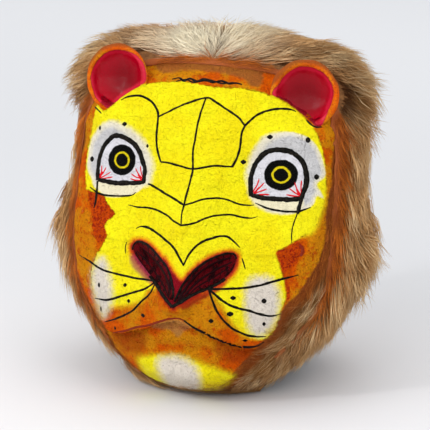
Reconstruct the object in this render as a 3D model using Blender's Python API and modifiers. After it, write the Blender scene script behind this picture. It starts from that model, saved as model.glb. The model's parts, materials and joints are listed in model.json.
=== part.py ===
"""Papier-mache animal mask with dished ears and a fur mane, standing on its neck rim.

Metres, +Z up, the face looks along -Y, the origin is at the middle of the footprint.
"""

import math

import bmesh
import bpy
import numpy as np
from mathutils import Euler, Vector

# Driving sizes of the shell
SHELL_HEIGHT = 0.338
SHELL_HALF_WIDTH = 0.135
SHELL_WALL = 0.003
FACE_REACH = 0.115
NOSE_REACH = 0.012
SHELL_BACK = 0.125
NECK_LIP = 0.004

# Driving sizes of the fur
FUR_DEPTH = 0.039
FUR_TOP_PILE = 0.012
FUR_HEIGHT = SHELL_HEIGHT + FUR_TOP_PILE
FUR_BACK = 0.141
LOCK_DEPTH = 0.008
LOCK_LENGTH = 0.062

# Driving sizes of an ear, and its place on the shell
EAR_RADIUS = 0.035
EAR_BOWL_RADIUS = 0.0275
EAR_BOWL_DEPTH = 0.015
EAR_WALL = 0.004
EAR_SIDE = 0.726 * SHELL_HALF_WIDTH
EAR_FORWARD = 0.165 * FACE_REACH
EAR_HEIGHT = 0.902 * SHELL_HEIGHT
EAR_TURN_OUT = math.radians(9.0)
EAR_TILT_UP = math.radians(14.0)

# Section of an ear. Turns of the rolled rim in degrees, steps down the bowl as shares of a
# quarter turn, and the outside as shares of the radius and of the depth.
EAR_RIM_TURNS = (-30, 0, 30, 60, 90, 120, 150, 180)
EAR_RIM_FRONT_COUNT = 5
EAR_BOWL_SHARES = (0.85, 0.65, 0.45, 0.22, 0.0)
EAR_FOOT_RADIUS = 0.45
EAR_SIDE_RADIUS = 0.80
EAR_SIDE_DEPTH = 0.62

# Gap that neighbouring pieces keep
CLEARANCE = 0.0004

# Mesh density
SHELL_FRONT_COLUMNS = 34
SHELL_BACK_COLUMNS = 10
MIDDLE_CROWDING = 1.25
FUR_COLUMNS = 44
EAR_STEPS = 22
OUTLINE_POINTS = 160

# Shell sections. height, half: shares of SHELL_HEIGHT and SHELL_HALF_WIDTH.
# cheek, ridge, waist: forward place of the side plate, of the middle line and of the widest
# line, shares of FACE_REACH. spread: half width of the middle ridge, share of
# SHELL_HALF_WIDTH. square: exponent of the outline. back: share of SHELL_BACK.
SHELL_SECTIONS = (
    # height, half, cheek, ridge, spread, square, waist, back
    (0.000, 0.56, 0.47, 0.49, 0.35, 2.2, 0.00, 0.96),
    (0.035, 0.62, 0.64, 0.73, 0.36, 2.2, 0.00, 0.98),
    (0.068, 0.67, 0.76, 0.88, 0.36, 2.3, 0.00, 0.99),
    (0.102, 0.74, 0.83, 0.97, 0.36, 2.4, 0.00, 1.00),
    (0.135, 0.79, 0.85, 0.95, 0.38, 2.6, 0.00, 1.00),
    (0.165, 0.83, 0.85, 0.92, 0.40, 2.8, 0.00, 1.00),
    (0.195, 0.87, 0.85, 0.94, 0.42, 3.0, 0.00, 1.00),
    (0.230, 0.90, 0.85, 0.97, 0.42, 3.2, 0.00, 1.00),
    (0.262, 0.93, 0.84, 0.99, 0.40, 3.5, 0.00, 1.00),
    (0.292, 0.95, 0.83, 1.00, 0.36, 3.8, 0.00, 1.00),
    (0.322, 0.965, 0.82, 1.00, 0.33, 4.0, 0.00, 1.00),
    (0.355, 0.98, 0.79, 0.99, 0.32, 4.2, 0.00, 1.00),
    (0.392, 0.99, 0.76, 0.96, 0.32, 4.4, 0.00, 1.00),
    (0.430, 1.00, 0.73, 0.94, 0.32, 4.6, 0.00, 1.00),
    (0.472, 1.00, 0.70, 0.93, 0.31, 4.8, 0.00, 1.00),
    (0.512, 1.00, 0.66, 0.92, 0.28, 4.8, 0.00, 1.00),
    (0.552, 1.00, 0.62, 0.89, 0.26, 4.8, 0.00, 1.00),
    (0.595, 1.00, 0.57, 0.80, 0.25, 4.8, 0.00, 1.00),
    (0.640, 1.00, 0.51, 0.70, 0.26, 4.7, 0.00, 1.00),
    (0.690, 0.99, 0.46, 0.60, 0.28, 4.5, 0.00, 0.99),
    (0.740, 0.985, 0.41, 0.50, 0.32, 4.1, -0.02, 0.98),
    (0.790, 0.97, 0.36, 0.42, 0.38, 3.7, -0.04, 0.96),
    (0.838, 0.93, 0.30, 0.34, 0.44, 3.3, -0.08, 0.93),
    (0.880, 0.86, 0.24, 0.26, 0.50, 2.9, -0.12, 0.88),
    (0.915, 0.76, 0.15, 0.17, 0.50, 2.6, -0.18, 0.81),
    (0.945, 0.64, 0.04, 0.05, 0.50, 2.4, -0.24, 0.72),
    (0.970, 0.49, -0.10, -0.10, 0.50, 2.2, -0.30, 0.62),
    (0.988, 0.32, -0.21, -0.21, 0.50, 2.0, -0.34, 0.52),
)
SHELL_POLE = -0.37

# Exponent of the back outlines: 1 is an ellipse, less is fuller
BACK_ROUNDNESS = 0.95

# Exponent with which the face's forms fade from the front toward the waist
FORM_FADE = 0.6

# The nose leaf. Heights of its top and lower tip, and its fades over and under them, shares
# of SHELL_HEIGHT. Half width at the tip and its growth, shares of SHELL_HALF_WIDTH. How much
# of NOSE_REACH is lost from the tip to the top, and how much is left over the top.
NOSE_TOP = 0.47
NOSE_TIP = 0.318
NOSE_TOP_FADE = 0.05
NOSE_TIP_FADE = 0.0152
NOSE_TIP_HALF = 0.10
NOSE_WIDENING = 0.34
NOSE_LOSS = 0.85

# Local forms pressed out of the face, or into it where the amount is below zero.
# side, height: place, shares of SHELL_HALF_WIDTH and SHELL_HEIGHT. long, wide: half lengths,
# shares of SHELL_HALF_WIDTH. tilt: degrees that the long way climbs away from the middle.
# amount: share of FACE_REACH. flat: 1 is a round bump, more has steeper sides.
FACE_FORMS = (
    # name, side, height, long, wide, tilt, amount, flat
    ("eye socket", 0.63, 0.665, 0.33, 0.26, 0.0, -0.060, 1.0),
    ("eye ball", 0.63, 0.680, 0.21, 0.17, 0.0, 0.055, 1.0),
    ("brow", 0.60, 0.785, 0.32, 0.11, -6.0, 0.040, 1.0),
    ("cheek", 0.66, 0.430, 0.30, 0.26, 0.0, 0.030, 1.0),
    ("whisker pad", 0.33, 0.305, 0.27, 0.16, 8.0, 0.055, 1.0),
    ("nostril wing", 0.26, 0.445, 0.34, 0.17, 40.0, 0.035, 1.0),
    ("nostril", 0.205, 0.402, 0.26, 0.070, 40.0, -0.095, 1.5),
    ("nose tip", 0.0, 0.335, 0.16, 0.110, 0.0, 0.035, 1.0),
    ("chin dip", 0.0, 0.178, 0.36, 0.055, 0.0, -0.030, 1.0),
)

# The mouth line climbs from its corners to the lip notch under the nose; the upper lip stands
# over it. side, height: shares of SHELL_HALF_WIDTH and SHELL_HEIGHT.
MOUTH_LINE = (
    # side, height
    (0.00, 0.272),
    (0.14, 0.255),
    (0.30, 0.222),
    (0.44, 0.198),
    (0.56, 0.188),
    (0.62, 0.188),
)
LIP_STEP = 0.0045
LIP_FADE = 0.012
UNDER_LIP_FADE = 0.7 * LIP_FADE

# How far past its corners the mouth line fades out, as a share of its half length
CORNER_FADE = 0.25

# Heights between which the sections are read twice as densely, shares of SHELL_HEIGHT
NOSE_BAND = (0.280, 0.480)

# Fold of the rolled hairline round the forehead: its height in the middle and its drop at
# the sides, shares of SHELL_HEIGHT
HAIRLINE_HEIGHT = 0.925
HAIRLINE_DROP = 0.16
HAIRLINE_ROLL = 0.0025
HAIRLINE_WIDTH = 0.006

# Fur sections. height: share of FUR_HEIGHT. half: share of SHELL_HALF_WIDTH + FUR_DEPTH.
# front, waist: shares of FACE_REACH. back: share of FUR_BACK. The last row of the manes is
# the first of the crown, where the two meet.
MANE_SECTIONS = (
    # height, half, front, waist, back
    (0.000, 0.460, 0.560, 0.0, 0.92),
    (0.022, 0.495, 0.690, 0.0, 0.94),
    (0.048, 0.535, 0.780, 0.0, 0.95),
    (0.079, 0.575, 0.830, 0.0, 0.97),
    (0.121, 0.661, 0.873, 0.0, 0.99),
    (0.169, 0.730, 0.910, 0.0, 1.00),
    (0.214, 0.793, 0.910, 0.0, 1.01),
    (0.268, 0.868, 0.862, 0.0, 1.02),
    (0.324, 0.931, 0.764, 0.0, 1.02),
    (0.394, 0.960, 0.690, 0.0, 1.02),
    (0.465, 0.968, 0.620, 0.0, 1.01),
    (0.518, 0.938, 0.590, 0.0, 1.00),
    (0.555, 0.906, 0.600, 0.0, 0.99),
    (0.600, 0.862, 0.640, 0.0, 0.98),
    (0.654, 0.839, 0.640, 0.0, 0.97),
)
CROWN_SECTIONS = (
    # height, half, front, waist, back
    (0.654, 0.839, 0.640, 0.00, 0.97),
    (0.672, 0.857, 0.530, 0.00, 0.98),
    (0.707, 0.888, 0.410, 0.00, 0.99),
    (0.761, 0.905, 0.300, -0.03, 1.00),
    (0.817, 0.911, 0.215, -0.06, 0.98),
    (0.865, 0.897, 0.160, -0.12, 0.93),
    (0.899, 0.874, 0.100, -0.18, 0.88),
    (0.932, 0.820, 0.030, -0.22, 0.80),
    (0.958, 0.750, -0.040, -0.26, 0.70),
    (0.977, 0.665, -0.110, -0.30, 0.60),
    (0.991, 0.530, -0.200, -0.34, 0.51),
    (0.998, 0.330, -0.290, -0.37, 0.45),
)
CROWN_POLE = -0.40
FUR_SQUARE = 2.3

# Side view of the line where the fur starts behind the face
# height: share of SHELL_HEIGHT. forward: share of FACE_REACH.
FUR_LINE = (
    # height, forward
    (0.000, 0.790),
    (0.040, 0.770),
    (0.083, 0.750),
    (0.148, 0.705),
    (0.237, 0.615),
    (0.325, 0.515),
    (0.444, 0.430),
    (0.562, 0.350),
    (0.678, 0.280),
    (0.769, 0.210),
    (0.873, 0.105),
    (0.950, 0.045),
    (1.020, -0.035),
    (1.110, -0.170),
)
CUTTER_MARGIN = 0.05

# Arches that rise over the shoulders, between the chin and the nape on which the mask stands
ARCH_HEIGHT = 0.030
ARCH_FORWARD = -0.033
ARCH_HALF_LENGTH = 0.083
ARCH_STEPS = 12

# The locks grow to their full depth over this length behind the face line, from the share
# SHORT_LOCK. Each lane starts further down than its neighbour, by a share of LOCK_LENGTH.
# A lock keeps LOCK_TIP of its depth at its tip, and LOCK_SINK of it lies under the sections.
LOCK_GROWTH = 0.035
SHORT_LOCK = 0.12
LOCK_STAGGER = 0.38
LOCK_TIP = 0.35
LOCK_SINK = 0.45

# Least cosine between a corner's way out and its faces' ways, which limits a long corner
CORNER_LIMIT = 0.35


def remove_scene_objects():
    for scene_object in list(bpy.data.objects):
        bpy.data.objects.remove(scene_object, do_unlink=True)


def make_collection(name):
    collection = bpy.data.collections.new(name)
    bpy.context.scene.collection.children.link(collection)
    return collection


def make_material(name, colour, roughness, metallic=0.0):
    material = bpy.data.materials.new(name)
    material.use_nodes = True
    shader = material.node_tree.nodes["Principled BSDF"]
    shader.inputs["Base Color"].default_value = (*colour, 1.0)
    shader.inputs["Roughness"].default_value = roughness
    shader.inputs["Metallic"].default_value = metallic
    return material


def smooth_rows(table, rows):
    """Read a table of columns at fractional row numbers along a smooth curve."""
    values = np.array(table, dtype=float)
    slopes = np.gradient(values, axis=0)
    rows = np.clip(np.asarray(rows, dtype=float), 0.0, len(values) - 1.0)
    first = np.minimum(rows.astype(int), len(values) - 2)
    t = (rows - first)[:, None]
    start, end = values[first], values[first + 1]
    rise, fall = slopes[first], slopes[first + 1]
    return (
        (2 * t**3 - 3 * t**2 + 1) * start
        + (t**3 - 2 * t**2 + t) * rise
        + (3 * t**2 - 2 * t**3) * end
        + (t**3 - t**2) * fall
    )


def face_form(x, z):
    """Forward push of the local forms at side place x and height z."""
    push = 0.0
    side = abs(x) / SHELL_HALF_WIDTH
    for _, at_side, height, half_long, half_wide, tilt, amount, flat in FACE_FORMS:
        across = side - at_side
        up = (z - height * SHELL_HEIGHT) / SHELL_HALF_WIDTH
        turn = math.radians(tilt)
        along = across * math.cos(turn) + up * math.sin(turn)
        over = up * math.cos(turn) - across * math.sin(turn)
        distance = (along / half_long) ** 2 + (over / half_wide) ** 2
        push += amount * FACE_REACH * math.exp(-(distance**flat))
    return push


def mouth_height(side):
    """Height of the mouth line, and how far it still counts at this side place."""
    sides = [row[0] for row in MOUTH_LINE]
    heights = [row[1] for row in MOUTH_LINE]
    past = (side / sides[-1] - 1.0) / CORNER_FADE
    return float(np.interp(side, sides, heights)) * SHELL_HEIGHT, min(max(1.0 - past, 0.0), 1.0)


def lip_form(x, z):
    """The upper lip stands over the mouth line, fading upward and stepping in below."""
    line, fade = mouth_height(abs(x) / SHELL_HALF_WIDTH)
    over = z - line
    if over >= 0.0:
        return LIP_STEP * fade * math.exp(-((over / LIP_FADE) ** 2))
    return -LIP_STEP * fade * math.exp(-((over / UNDER_LIP_FADE) ** 2))


def hairline_form(x, z):
    """The rolled edge that runs round the top of the forehead."""
    side = abs(x) / SHELL_HALF_WIDTH
    line = (HAIRLINE_HEIGHT - HAIRLINE_DROP * side**2) * SHELL_HEIGHT
    return HAIRLINE_ROLL * math.exp(-(((z - line) / HAIRLINE_WIDTH) ** 2))


def section_outline(half, cheek, waist, square, back):
    """Half outline of one section from the middle of the front to the middle of the back."""
    angle = np.linspace(0.0, math.pi, OUTLINE_POINTS)
    side = half * np.abs(np.sin(angle)) ** (2.0 / square)
    front = np.abs(np.cos(angle)) ** (2.0 / square)
    rear = np.abs(np.cos(angle)) ** BACK_ROUNDNESS
    side_back = half * np.abs(np.sin(angle)) ** BACK_ROUNDNESS
    ahead = angle <= math.pi / 2
    x = np.where(ahead, side, side_back)
    forward = np.where(ahead, waist + (cheek - waist) * front, waist - (back + waist) * rear)
    return x, forward


def spread_points(x, forward, front_count, back_count, waist):
    """Even points along a half outline, the same number before and behind the waist."""
    ahead = forward >= waist - 1e-9
    points = []
    for mask, count, first in ((ahead, front_count, 0), (~ahead, back_count, 1)):
        xs, ys = x[mask], forward[mask]
        if first:
            xs, ys = np.append(x[ahead][-1], xs), np.append(forward[ahead][-1], ys)
        run = np.concatenate(([0.0], np.cumsum(np.hypot(np.diff(xs), np.diff(ys)))))
        crowding = 1.0 if first else MIDDLE_CROWDING
        places = run[-1] * np.linspace(0.0, 1.0, count + 1)[first:] ** crowding
        points += list(zip(np.interp(places, run, xs), np.interp(places, run, ys)))
    return points


def whole_ring(half_points):
    """Mirror a half outline into a ring that starts at the front and runs to the right."""
    left = [(-x, forward) for x, forward in reversed(half_points[1:-1])]
    return half_points + left


def shell_rings():
    """Rings of points of the outer skin, from the neck rim to just under the pole."""
    table = [
        (
            height * SHELL_HEIGHT,
            half * SHELL_HALF_WIDTH,
            cheek * FACE_REACH,
            ridge * FACE_REACH,
            spread * SHELL_HALF_WIDTH,
            square,
            waist * FACE_REACH,
            back * SHELL_BACK,
        )
        for height, half, cheek, ridge, spread, square, waist, back in SHELL_SECTIONS
    ]
    low, high = (share * SHELL_HEIGHT for share in NOSE_BAND)
    between = [n + 0.5 for n in range(len(table) - 1) if low < table[n][0] < high]
    rows = smooth_rows(table, sorted(list(range(len(table))) + between))
    rings = []
    for z, half, cheek, ridge, spread, square, waist, back in rows:
        x, forward = section_outline(half, cheek, waist, square, back)
        halves = spread_points(
            x, forward, SHELL_FRONT_COLUMNS // 2, SHELL_BACK_COLUMNS // 2, waist
        )
        ring = []
        for px, pf in whole_ring(halves):
            facing = min(max((pf - waist) / max(cheek - waist, 1e-6), 0.0), 1.0)
            middle = (ridge - cheek) * math.exp(-((px / spread) ** 2))
            local = face_form(px, z) + lip_form(px, z) + hairline_form(px, z)
            nose = NOSE_REACH * nose_share(px, z)
            form = facing**FORM_FADE * (middle + local + nose)
            ring.append(Vector((px, -(pf + form), z)))
        rings.append(ring)
    lip = [Vector((p.x, p.y, 0.0)) for p in rings[0]]
    for point in rings[0]:
        point.z = NECK_LIP
    return [lip] + rings


def nose_share(x, z):
    """The nose leaf stands forward of the muzzle, most at its lower tip."""
    height = z / SHELL_HEIGHT
    if height > NOSE_TOP:
        return (1.0 - NOSE_LOSS) * math.exp(-(((height - NOSE_TOP) / NOSE_TOP_FADE) ** 2))
    climb = (height - NOSE_TIP) / (NOSE_TOP - NOSE_TIP)
    half = (NOSE_TIP_HALF + NOSE_WIDENING * max(climb, 0.0)) * SHELL_HALF_WIDTH
    across = math.exp(-((x / half) ** 4))
    if climb < 0.0:
        return across * math.exp(-(((height - NOSE_TIP) / NOSE_TIP_FADE) ** 2))
    return across * (1.0 - NOSE_LOSS * climb)


def faces_between(rings, columns):
    """Two triangles for each cell, alike on both sides and in a surface's clearance."""
    faces = []
    for row in range(len(rings) - 1):
        for column in range(columns):
            across = (column + 1) % columns
            lower, upper = row * columns, (row + 1) * columns
            cell = (lower + column, lower + across, upper + across, upper + column)
            first = 0 if column < columns // 2 else 1
            a, b, c, d = cell[first:] + cell[:first]
            faces += [(a, b, c), (a, c, d)]
    return faces


def loft(rings, pole=None, floor=False, roof=False):
    """Faces between equal rings, closed over a pole or by flat ends where asked."""
    columns = len(rings[0])
    points = [point for ring in rings for point in ring]
    faces = faces_between(rings, columns)
    last = (len(rings) - 1) * columns
    if pole is not None:
        points.append(pole)
        top = len(points) - 1
        faces += [(last + c, last + (c + 1) % columns, top) for c in range(columns)]
    if floor:
        faces.append(tuple(reversed(range(columns))))
    if roof:
        faces.append(tuple(last + c for c in range(columns)))
    return points, faces


def add_mesh(name, points, faces, collection, material=None):
    mesh = bpy.data.meshes.new(name)
    mesh.from_pydata([tuple(point) for point in points], [], faces)
    work = bmesh.new()
    work.from_mesh(mesh)
    bmesh.ops.recalc_face_normals(work, faces=work.faces)
    work.to_mesh(mesh)
    work.free()
    mesh_object = bpy.data.objects.new(name, mesh)
    if material:
        mesh.materials.append(material)
    collection.objects.link(mesh_object)
    return mesh_object


def hide_cutter(cutter):
    cutter.hide_render = True
    cutter.display_type = "WIRE"
    return cutter


def cut_away(target, cutter):
    step = target.modifiers.new(f"clear of {cutter.name}", "BOOLEAN")
    step.operation = "DIFFERENCE"
    step.solver = "EXACT"
    step.object = cutter


def make_shell(collection, material):
    rings = shell_rings()
    pole = Vector((0.0, -SHELL_POLE * FACE_REACH, SHELL_HEIGHT))
    points, faces = loft(rings, pole=pole)
    shell = add_mesh("face_shell", points, faces, collection, material)
    wall = shell.modifiers.new("wall", "SOLIDIFY")
    wall.thickness = SHELL_WALL
    wall.offset = -1.0
    wall.use_even_offset = True
    wall.thickness_clamp = 0.0
    return shell


def make_shell_clearance(collection, name, gap):
    """The room that the shell takes, grown by a gap, closed and run below the floor."""
    rings = shell_rings()
    pole = Vector((0.0, -SHELL_POLE * FACE_REACH, SHELL_HEIGHT))
    points, faces = loft(rings, pole=pole)
    mesh = bpy.data.meshes.new(name)
    mesh.from_pydata([tuple(point) for point in points], [], faces)
    work = bmesh.new()
    work.from_mesh(mesh)
    bmesh.ops.recalc_face_normals(work, faces=work.faces)
    work.normal_update()
    grown = [vertex.co + grow_way(vertex) * gap for vertex in work.verts]
    work.free()
    bpy.data.meshes.remove(mesh)
    columns = len(rings[0])
    skirt = [Vector((p.x, p.y, -CUTTER_MARGIN)) for p in grown[:columns]]
    outer = [skirt] + [grown[r * columns:(r + 1) * columns] for r in range(len(rings))]
    points, faces = loft(outer, pole=grown[-1], floor=True)
    return hide_cutter(add_mesh(name, points, faces, collection))


def grow_way(vertex):
    """Direction that moves every face at a corner out by one unit or a little more."""
    way = vertex.normal.copy()
    least = min((way.dot(face.normal) for face in vertex.link_faces), default=1.0)
    return way / max(least, CORNER_LIMIT)


def make_face_line_cutter(collection):
    """Everything in front of the line where the fur starts."""
    depth = FACE_REACH * 2.0 + CUTTER_MARGIN
    reach = SHELL_HALF_WIDTH + FUR_DEPTH + CUTTER_MARGIN
    line = [(-forward * FACE_REACH, height * SHELL_HEIGHT) for height, forward in FUR_LINE]
    line[0] = (line[0][0], -CUTTER_MARGIN)
    line[-1] = (line[-1][0], line[-1][1] + CUTTER_MARGIN)
    outline = line + [(-depth, line[-1][1]), (-depth, line[0][1])]
    rings = [[Vector((side, y, z)) for y, z in outline] for side in (-reach, reach)]
    points, faces = loft(rings, floor=True, roof=True)
    return hide_cutter(add_mesh("face_line_cutter", points, faces, collection))


def make_shoulder_cutter(collection):
    """A half round bar across the neck rim, which clears the wearer's shoulders."""
    reach = SHELL_HALF_WIDTH + FUR_DEPTH + CUTTER_MARGIN
    outline = [
        (
            -ARCH_FORWARD - ARCH_HALF_LENGTH * math.cos(math.pi * step / ARCH_STEPS),
            ARCH_HEIGHT * math.sin(math.pi * step / ARCH_STEPS),
        )
        for step in range(ARCH_STEPS + 1)
    ]
    outline = [(outline[0][0], -CUTTER_MARGIN)] + outline + [(outline[-1][0], -CUTTER_MARGIN)]
    rings = [[Vector((side, y, z)) for y, z in outline] for side in (-reach, reach)]
    points, faces = loft(rings, floor=True, roof=True)
    return hide_cutter(add_mesh("shoulder_cutter", points, faces, collection))


def lock_push(index, height, forward):
    """Ridges of the fur locks: each lock swells from its root and steps in at its tip."""
    lane, edge = divmod(index, 2)
    along = (height / LOCK_LENGTH + lane * LOCK_STAGGER) % 1.0
    swell = edge * (1.0 - (1.0 - LOCK_TIP) * along)
    behind = (face_line(height) - forward) / LOCK_GROWTH
    growth = min(max(behind, SHORT_LOCK), 1.0)
    return growth * LOCK_DEPTH * (swell - LOCK_SINK)


def face_line(height):
    """Forward place of the line where the fur starts, at one height."""
    heights = [share * SHELL_HEIGHT for share, _ in FUR_LINE]
    forwards = [share * FACE_REACH for _, share in FUR_LINE]
    return float(np.interp(height, heights, forwards))


def fur_rings(table, half_only=None, flat_rows=()):
    """Rings of the outer fur, with locks. half_only is -1 or 1 for one side's half."""
    rows = [
        (
            height * FUR_HEIGHT,
            half * (SHELL_HALF_WIDTH + FUR_DEPTH),
            front * FACE_REACH,
            waist * FACE_REACH,
            back * FUR_BACK,
        )
        for height, half, front, waist, back in table
    ]
    rings = []
    for number, (z, half, front, waist, back) in enumerate(rows):
        x, forward = section_outline(half, front, waist, FUR_SQUARE, back)
        halves = spread_points(x, forward, FUR_COLUMNS // 4, FUR_COLUMNS // 4, waist)
        ring = []
        whole = whole_ring(halves) if half_only is None else halves
        for index, (px, pf) in enumerate(whole):
            way = Vector((px / half, -(pf - waist) / max(back, front), 0.0))
            length = max(way.length, 1e-6)
            push = 0.0 if number in flat_rows else lock_push(index, z, pf)
            side = 1.0 if half_only is None else half_only
            moved = Vector((px, -pf, z)) + way / length * push
            ring.append(Vector((side * moved.x, moved.y, z)))
        rings.append(ring)
    return rings


def make_crown(collection, material):
    rings = fur_rings(CROWN_SECTIONS, flat_rows=(0,))
    pole = Vector((0.0, -CROWN_POLE * FACE_REACH, FUR_HEIGHT))
    for point in rings[0]:
        point.z += CLEARANCE / 2.0
    points, faces = loft(rings, pole=pole, floor=True)
    return add_mesh("crown_fur", points, faces, collection, material)


def make_mane(side_name, side, collection, material):
    rings = fur_rings(MANE_SECTIONS, half_only=side, flat_rows=(0, len(MANE_SECTIONS) - 1))
    for point in rings[-1]:
        point.z -= CLEARANCE / 2.0
    for ring in rings:
        for end in (ring[0], ring[-1]):
            end.x = side * CLEARANCE / 2.0
    points, faces = loft(rings, floor=True, roof=True)
    return add_mesh(f"mane_fur_{side_name}", points, faces, collection, material)


def ear_profile(grow=0.0, filled=False):
    """Section of an ear cup: radius and place along its axis, which points out of the bowl."""
    rim = (EAR_RADIUS - EAR_BOWL_RADIUS) / 2.0
    middle = (EAR_RADIUS + EAR_BOWL_RADIUS) / 2.0
    rim_points = [
        (
            middle + (rim + grow) * math.cos(math.radians(turn)),
            (rim + grow) * math.sin(math.radians(turn)),
        )
        for turn in EAR_RIM_TURNS
    ]
    bowl_turns = [share * math.pi / 2.0 for share in EAR_BOWL_SHARES]
    bowl = [(EAR_BOWL_RADIUS * math.sin(t), -EAR_BOWL_DEPTH * math.cos(t)) for t in bowl_turns]
    foot = -EAR_BOWL_DEPTH - EAR_WALL - grow
    outside = [
        (0.0, foot),
        (EAR_FOOT_RADIUS * EAR_RADIUS + grow, foot),
        (EAR_SIDE_RADIUS * EAR_RADIUS + grow, EAR_SIDE_DEPTH * foot),
    ]
    if filled:
        return outside + rim_points[:EAR_RIM_FRONT_COUNT] + [(0.0, rim + grow)]
    return outside + rim_points + bowl


def make_ear(name, side, collection, material=None, grow=0.0, filled=False):
    profile = ear_profile(grow, filled)
    points = [(radius, 0.0, along) for radius, along in reversed(profile)]
    mesh = bpy.data.meshes.new(name)
    mesh.from_pydata(points, [(i, i + 1) for i in range(len(points) - 1)], [])
    ear = bpy.data.objects.new(name, mesh)
    collection.objects.link(ear)
    turned = ear.modifiers.new("turned", "SCREW")
    turned.steps = EAR_STEPS
    turned.render_steps = EAR_STEPS
    turned.use_merge_vertices = True
    turned.merge_threshold = 0.00001
    turned.use_normal_calculate = True
    ear.rotation_euler = ear_turn(side)
    ear.location = (side * EAR_SIDE, -EAR_FORWARD, EAR_HEIGHT)
    if material:
        mesh.materials.append(material)
    return ear


def ear_turn(side):
    """The bowl's axis looks forward, a little up and a little outward."""
    return Euler((math.pi / 2 - EAR_TILT_UP, 0.0, side * EAR_TURN_OUT), "XYZ")


def centre_on_footprint(pieces, root):
    """Parent the pieces to the root and bring the middle of their box over the origin."""
    bpy.context.view_layer.update()
    depsgraph = bpy.context.evaluated_depsgraph_get()
    low = Vector((1e9, 1e9, 1e9))
    high = -low
    for piece in pieces:
        shown = piece.evaluated_get(depsgraph)
        for vertex in shown.data.vertices:
            place = shown.matrix_world @ vertex.co
            low = Vector(map(min, low, place))
            high = Vector(map(max, high, place))
        piece.parent = root
    root.location = (-(low.x + high.x) / 2.0, -(low.y + high.y) / 2.0, -low.z)


def build():
    remove_scene_objects()
    parts = make_collection("tiger_mask")
    cutters = make_collection("cutters")
    paint = make_material("face_paint", (0.90, 0.78, 0.03), 0.6)
    ear_paint = make_material("ear_paint", (0.36, 0.0, 0.02), 0.25)
    fur = make_material("fur", (0.48, 0.32, 0.16), 0.9)

    shell = make_shell(parts, paint)
    shell_room = make_shell_clearance(cutters, "shell_room", CLEARANCE)
    face_line = make_face_line_cutter(cutters)
    shoulders = make_shoulder_cutter(cutters)
    cut_away(shell, shoulders)

    crown = make_crown(parts, fur)
    pieces = [shell, crown]
    cutter_objects = [shell_room, face_line, shoulders]
    for side_name, side in (("left", -1.0), ("right", 1.0)):
        ear = make_ear(f"ear_cup_{side_name}", side, parts, ear_paint)
        cut_away(ear, shell_room)
        room = make_ear(f"ear_room_{side_name}", side, cutters, grow=CLEARANCE, filled=True)
        hide_cutter(room)
        mane = make_mane(side_name, side, parts, fur)
        cut_away(mane, shell_room)
        cut_away(mane, face_line)
        cut_away(mane, shoulders)
        cut_away(crown, room)
        pieces += [ear, mane]
        cutter_objects.append(room)
    cut_away(crown, shell_room)
    cut_away(crown, face_line)

    root = bpy.data.objects.new("tiger_mask_root", None)
    parts.objects.link(root)
    centre_on_footprint(pieces, root)
    for cutter in cutter_objects:
        cutter.parent = root
    for piece in pieces:
        piece.data.shade_smooth()


build()
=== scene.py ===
import json
import math

import bmesh
import bpy
import numpy as np
from mathutils import Euler, Matrix, Vector, noise
from mathutils.bvhtree import BVHTree

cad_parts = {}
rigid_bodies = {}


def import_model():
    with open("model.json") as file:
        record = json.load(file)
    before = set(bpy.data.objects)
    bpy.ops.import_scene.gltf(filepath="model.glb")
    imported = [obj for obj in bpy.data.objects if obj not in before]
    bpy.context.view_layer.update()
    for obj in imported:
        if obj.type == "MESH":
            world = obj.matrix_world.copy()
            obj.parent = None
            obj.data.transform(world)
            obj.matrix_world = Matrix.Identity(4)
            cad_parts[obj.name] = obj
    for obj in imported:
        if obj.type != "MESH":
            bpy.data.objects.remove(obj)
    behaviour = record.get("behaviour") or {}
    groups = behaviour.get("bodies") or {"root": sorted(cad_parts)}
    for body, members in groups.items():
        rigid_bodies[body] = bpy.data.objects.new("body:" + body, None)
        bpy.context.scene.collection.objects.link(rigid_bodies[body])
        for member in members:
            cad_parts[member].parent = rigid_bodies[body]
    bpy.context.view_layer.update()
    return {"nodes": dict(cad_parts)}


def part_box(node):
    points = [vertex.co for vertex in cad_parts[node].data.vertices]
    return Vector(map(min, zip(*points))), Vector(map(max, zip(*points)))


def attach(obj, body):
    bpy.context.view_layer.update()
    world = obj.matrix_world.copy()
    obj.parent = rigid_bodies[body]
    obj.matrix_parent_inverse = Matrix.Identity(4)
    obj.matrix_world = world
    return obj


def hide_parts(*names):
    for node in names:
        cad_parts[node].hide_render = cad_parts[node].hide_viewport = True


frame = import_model()
print("stage: frame loaded")

# The picture's view. Angles in degrees, lengths in metres, picture places in its pixels.
view = {
    "azimuth": 20.0,
    "elevation": 16.8,
    "distance": 3.2,
    "span": 0.430,  # width that the picture takes in at the aim
    "pixels": 430.0,
    "middle": 215.0,
    "sensor": 36.0,
    "aimSide": -0.0016,
    "aimHeight": 0.167,
}

# The shell's sizes, as in the solids
shell = {
    "height": 0.338,
    "halfWidth": 0.135,
    "wall": 0.003,
    "faceReach": 0.115,
    "noseReach": 0.012,
    "back": 0.125,
    "pole": -0.37,
    "backRoundness": 0.95,
    "formFade": 0.6,
    "noseTop": 0.47,
    "noseTip": 0.318,
    "noseTopFade": 0.05,
    "noseTipFade": 0.0152,
    "noseTipHalf": 0.10,
    "noseWidening": 0.34,
    "noseLoss": 0.85,
    "lipStep": 0.0045,
    "lipFade": 0.009,
    "cornerFade": 0.25,
    "hairlineHeight": 0.925,
    "hairlineDrop": 0.16,
    "hairlineRoll": 0.0030,
    "hairlineWidth": 0.006,
    "archHeight": 0.030,
    "archForward": -0.033,
    "archHalfLength": 0.083,
    "archEase": 0.060,
    "frontCells": 116,  # on each half, before and behind the widest line
    "backCells": 28,
    "rows": 216,
    "crowding": 1.15,
    "outlinePoints": 400,
    "liningEvery": 4,
    "dentLimit": 0.012,
    "lumpDepth": 0.0011,
    "lumpSize": 0.013,
    "settle": 0.02,
    "grainDepth": 0.00040,
    "grainSize": 0.0042,
}

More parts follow.
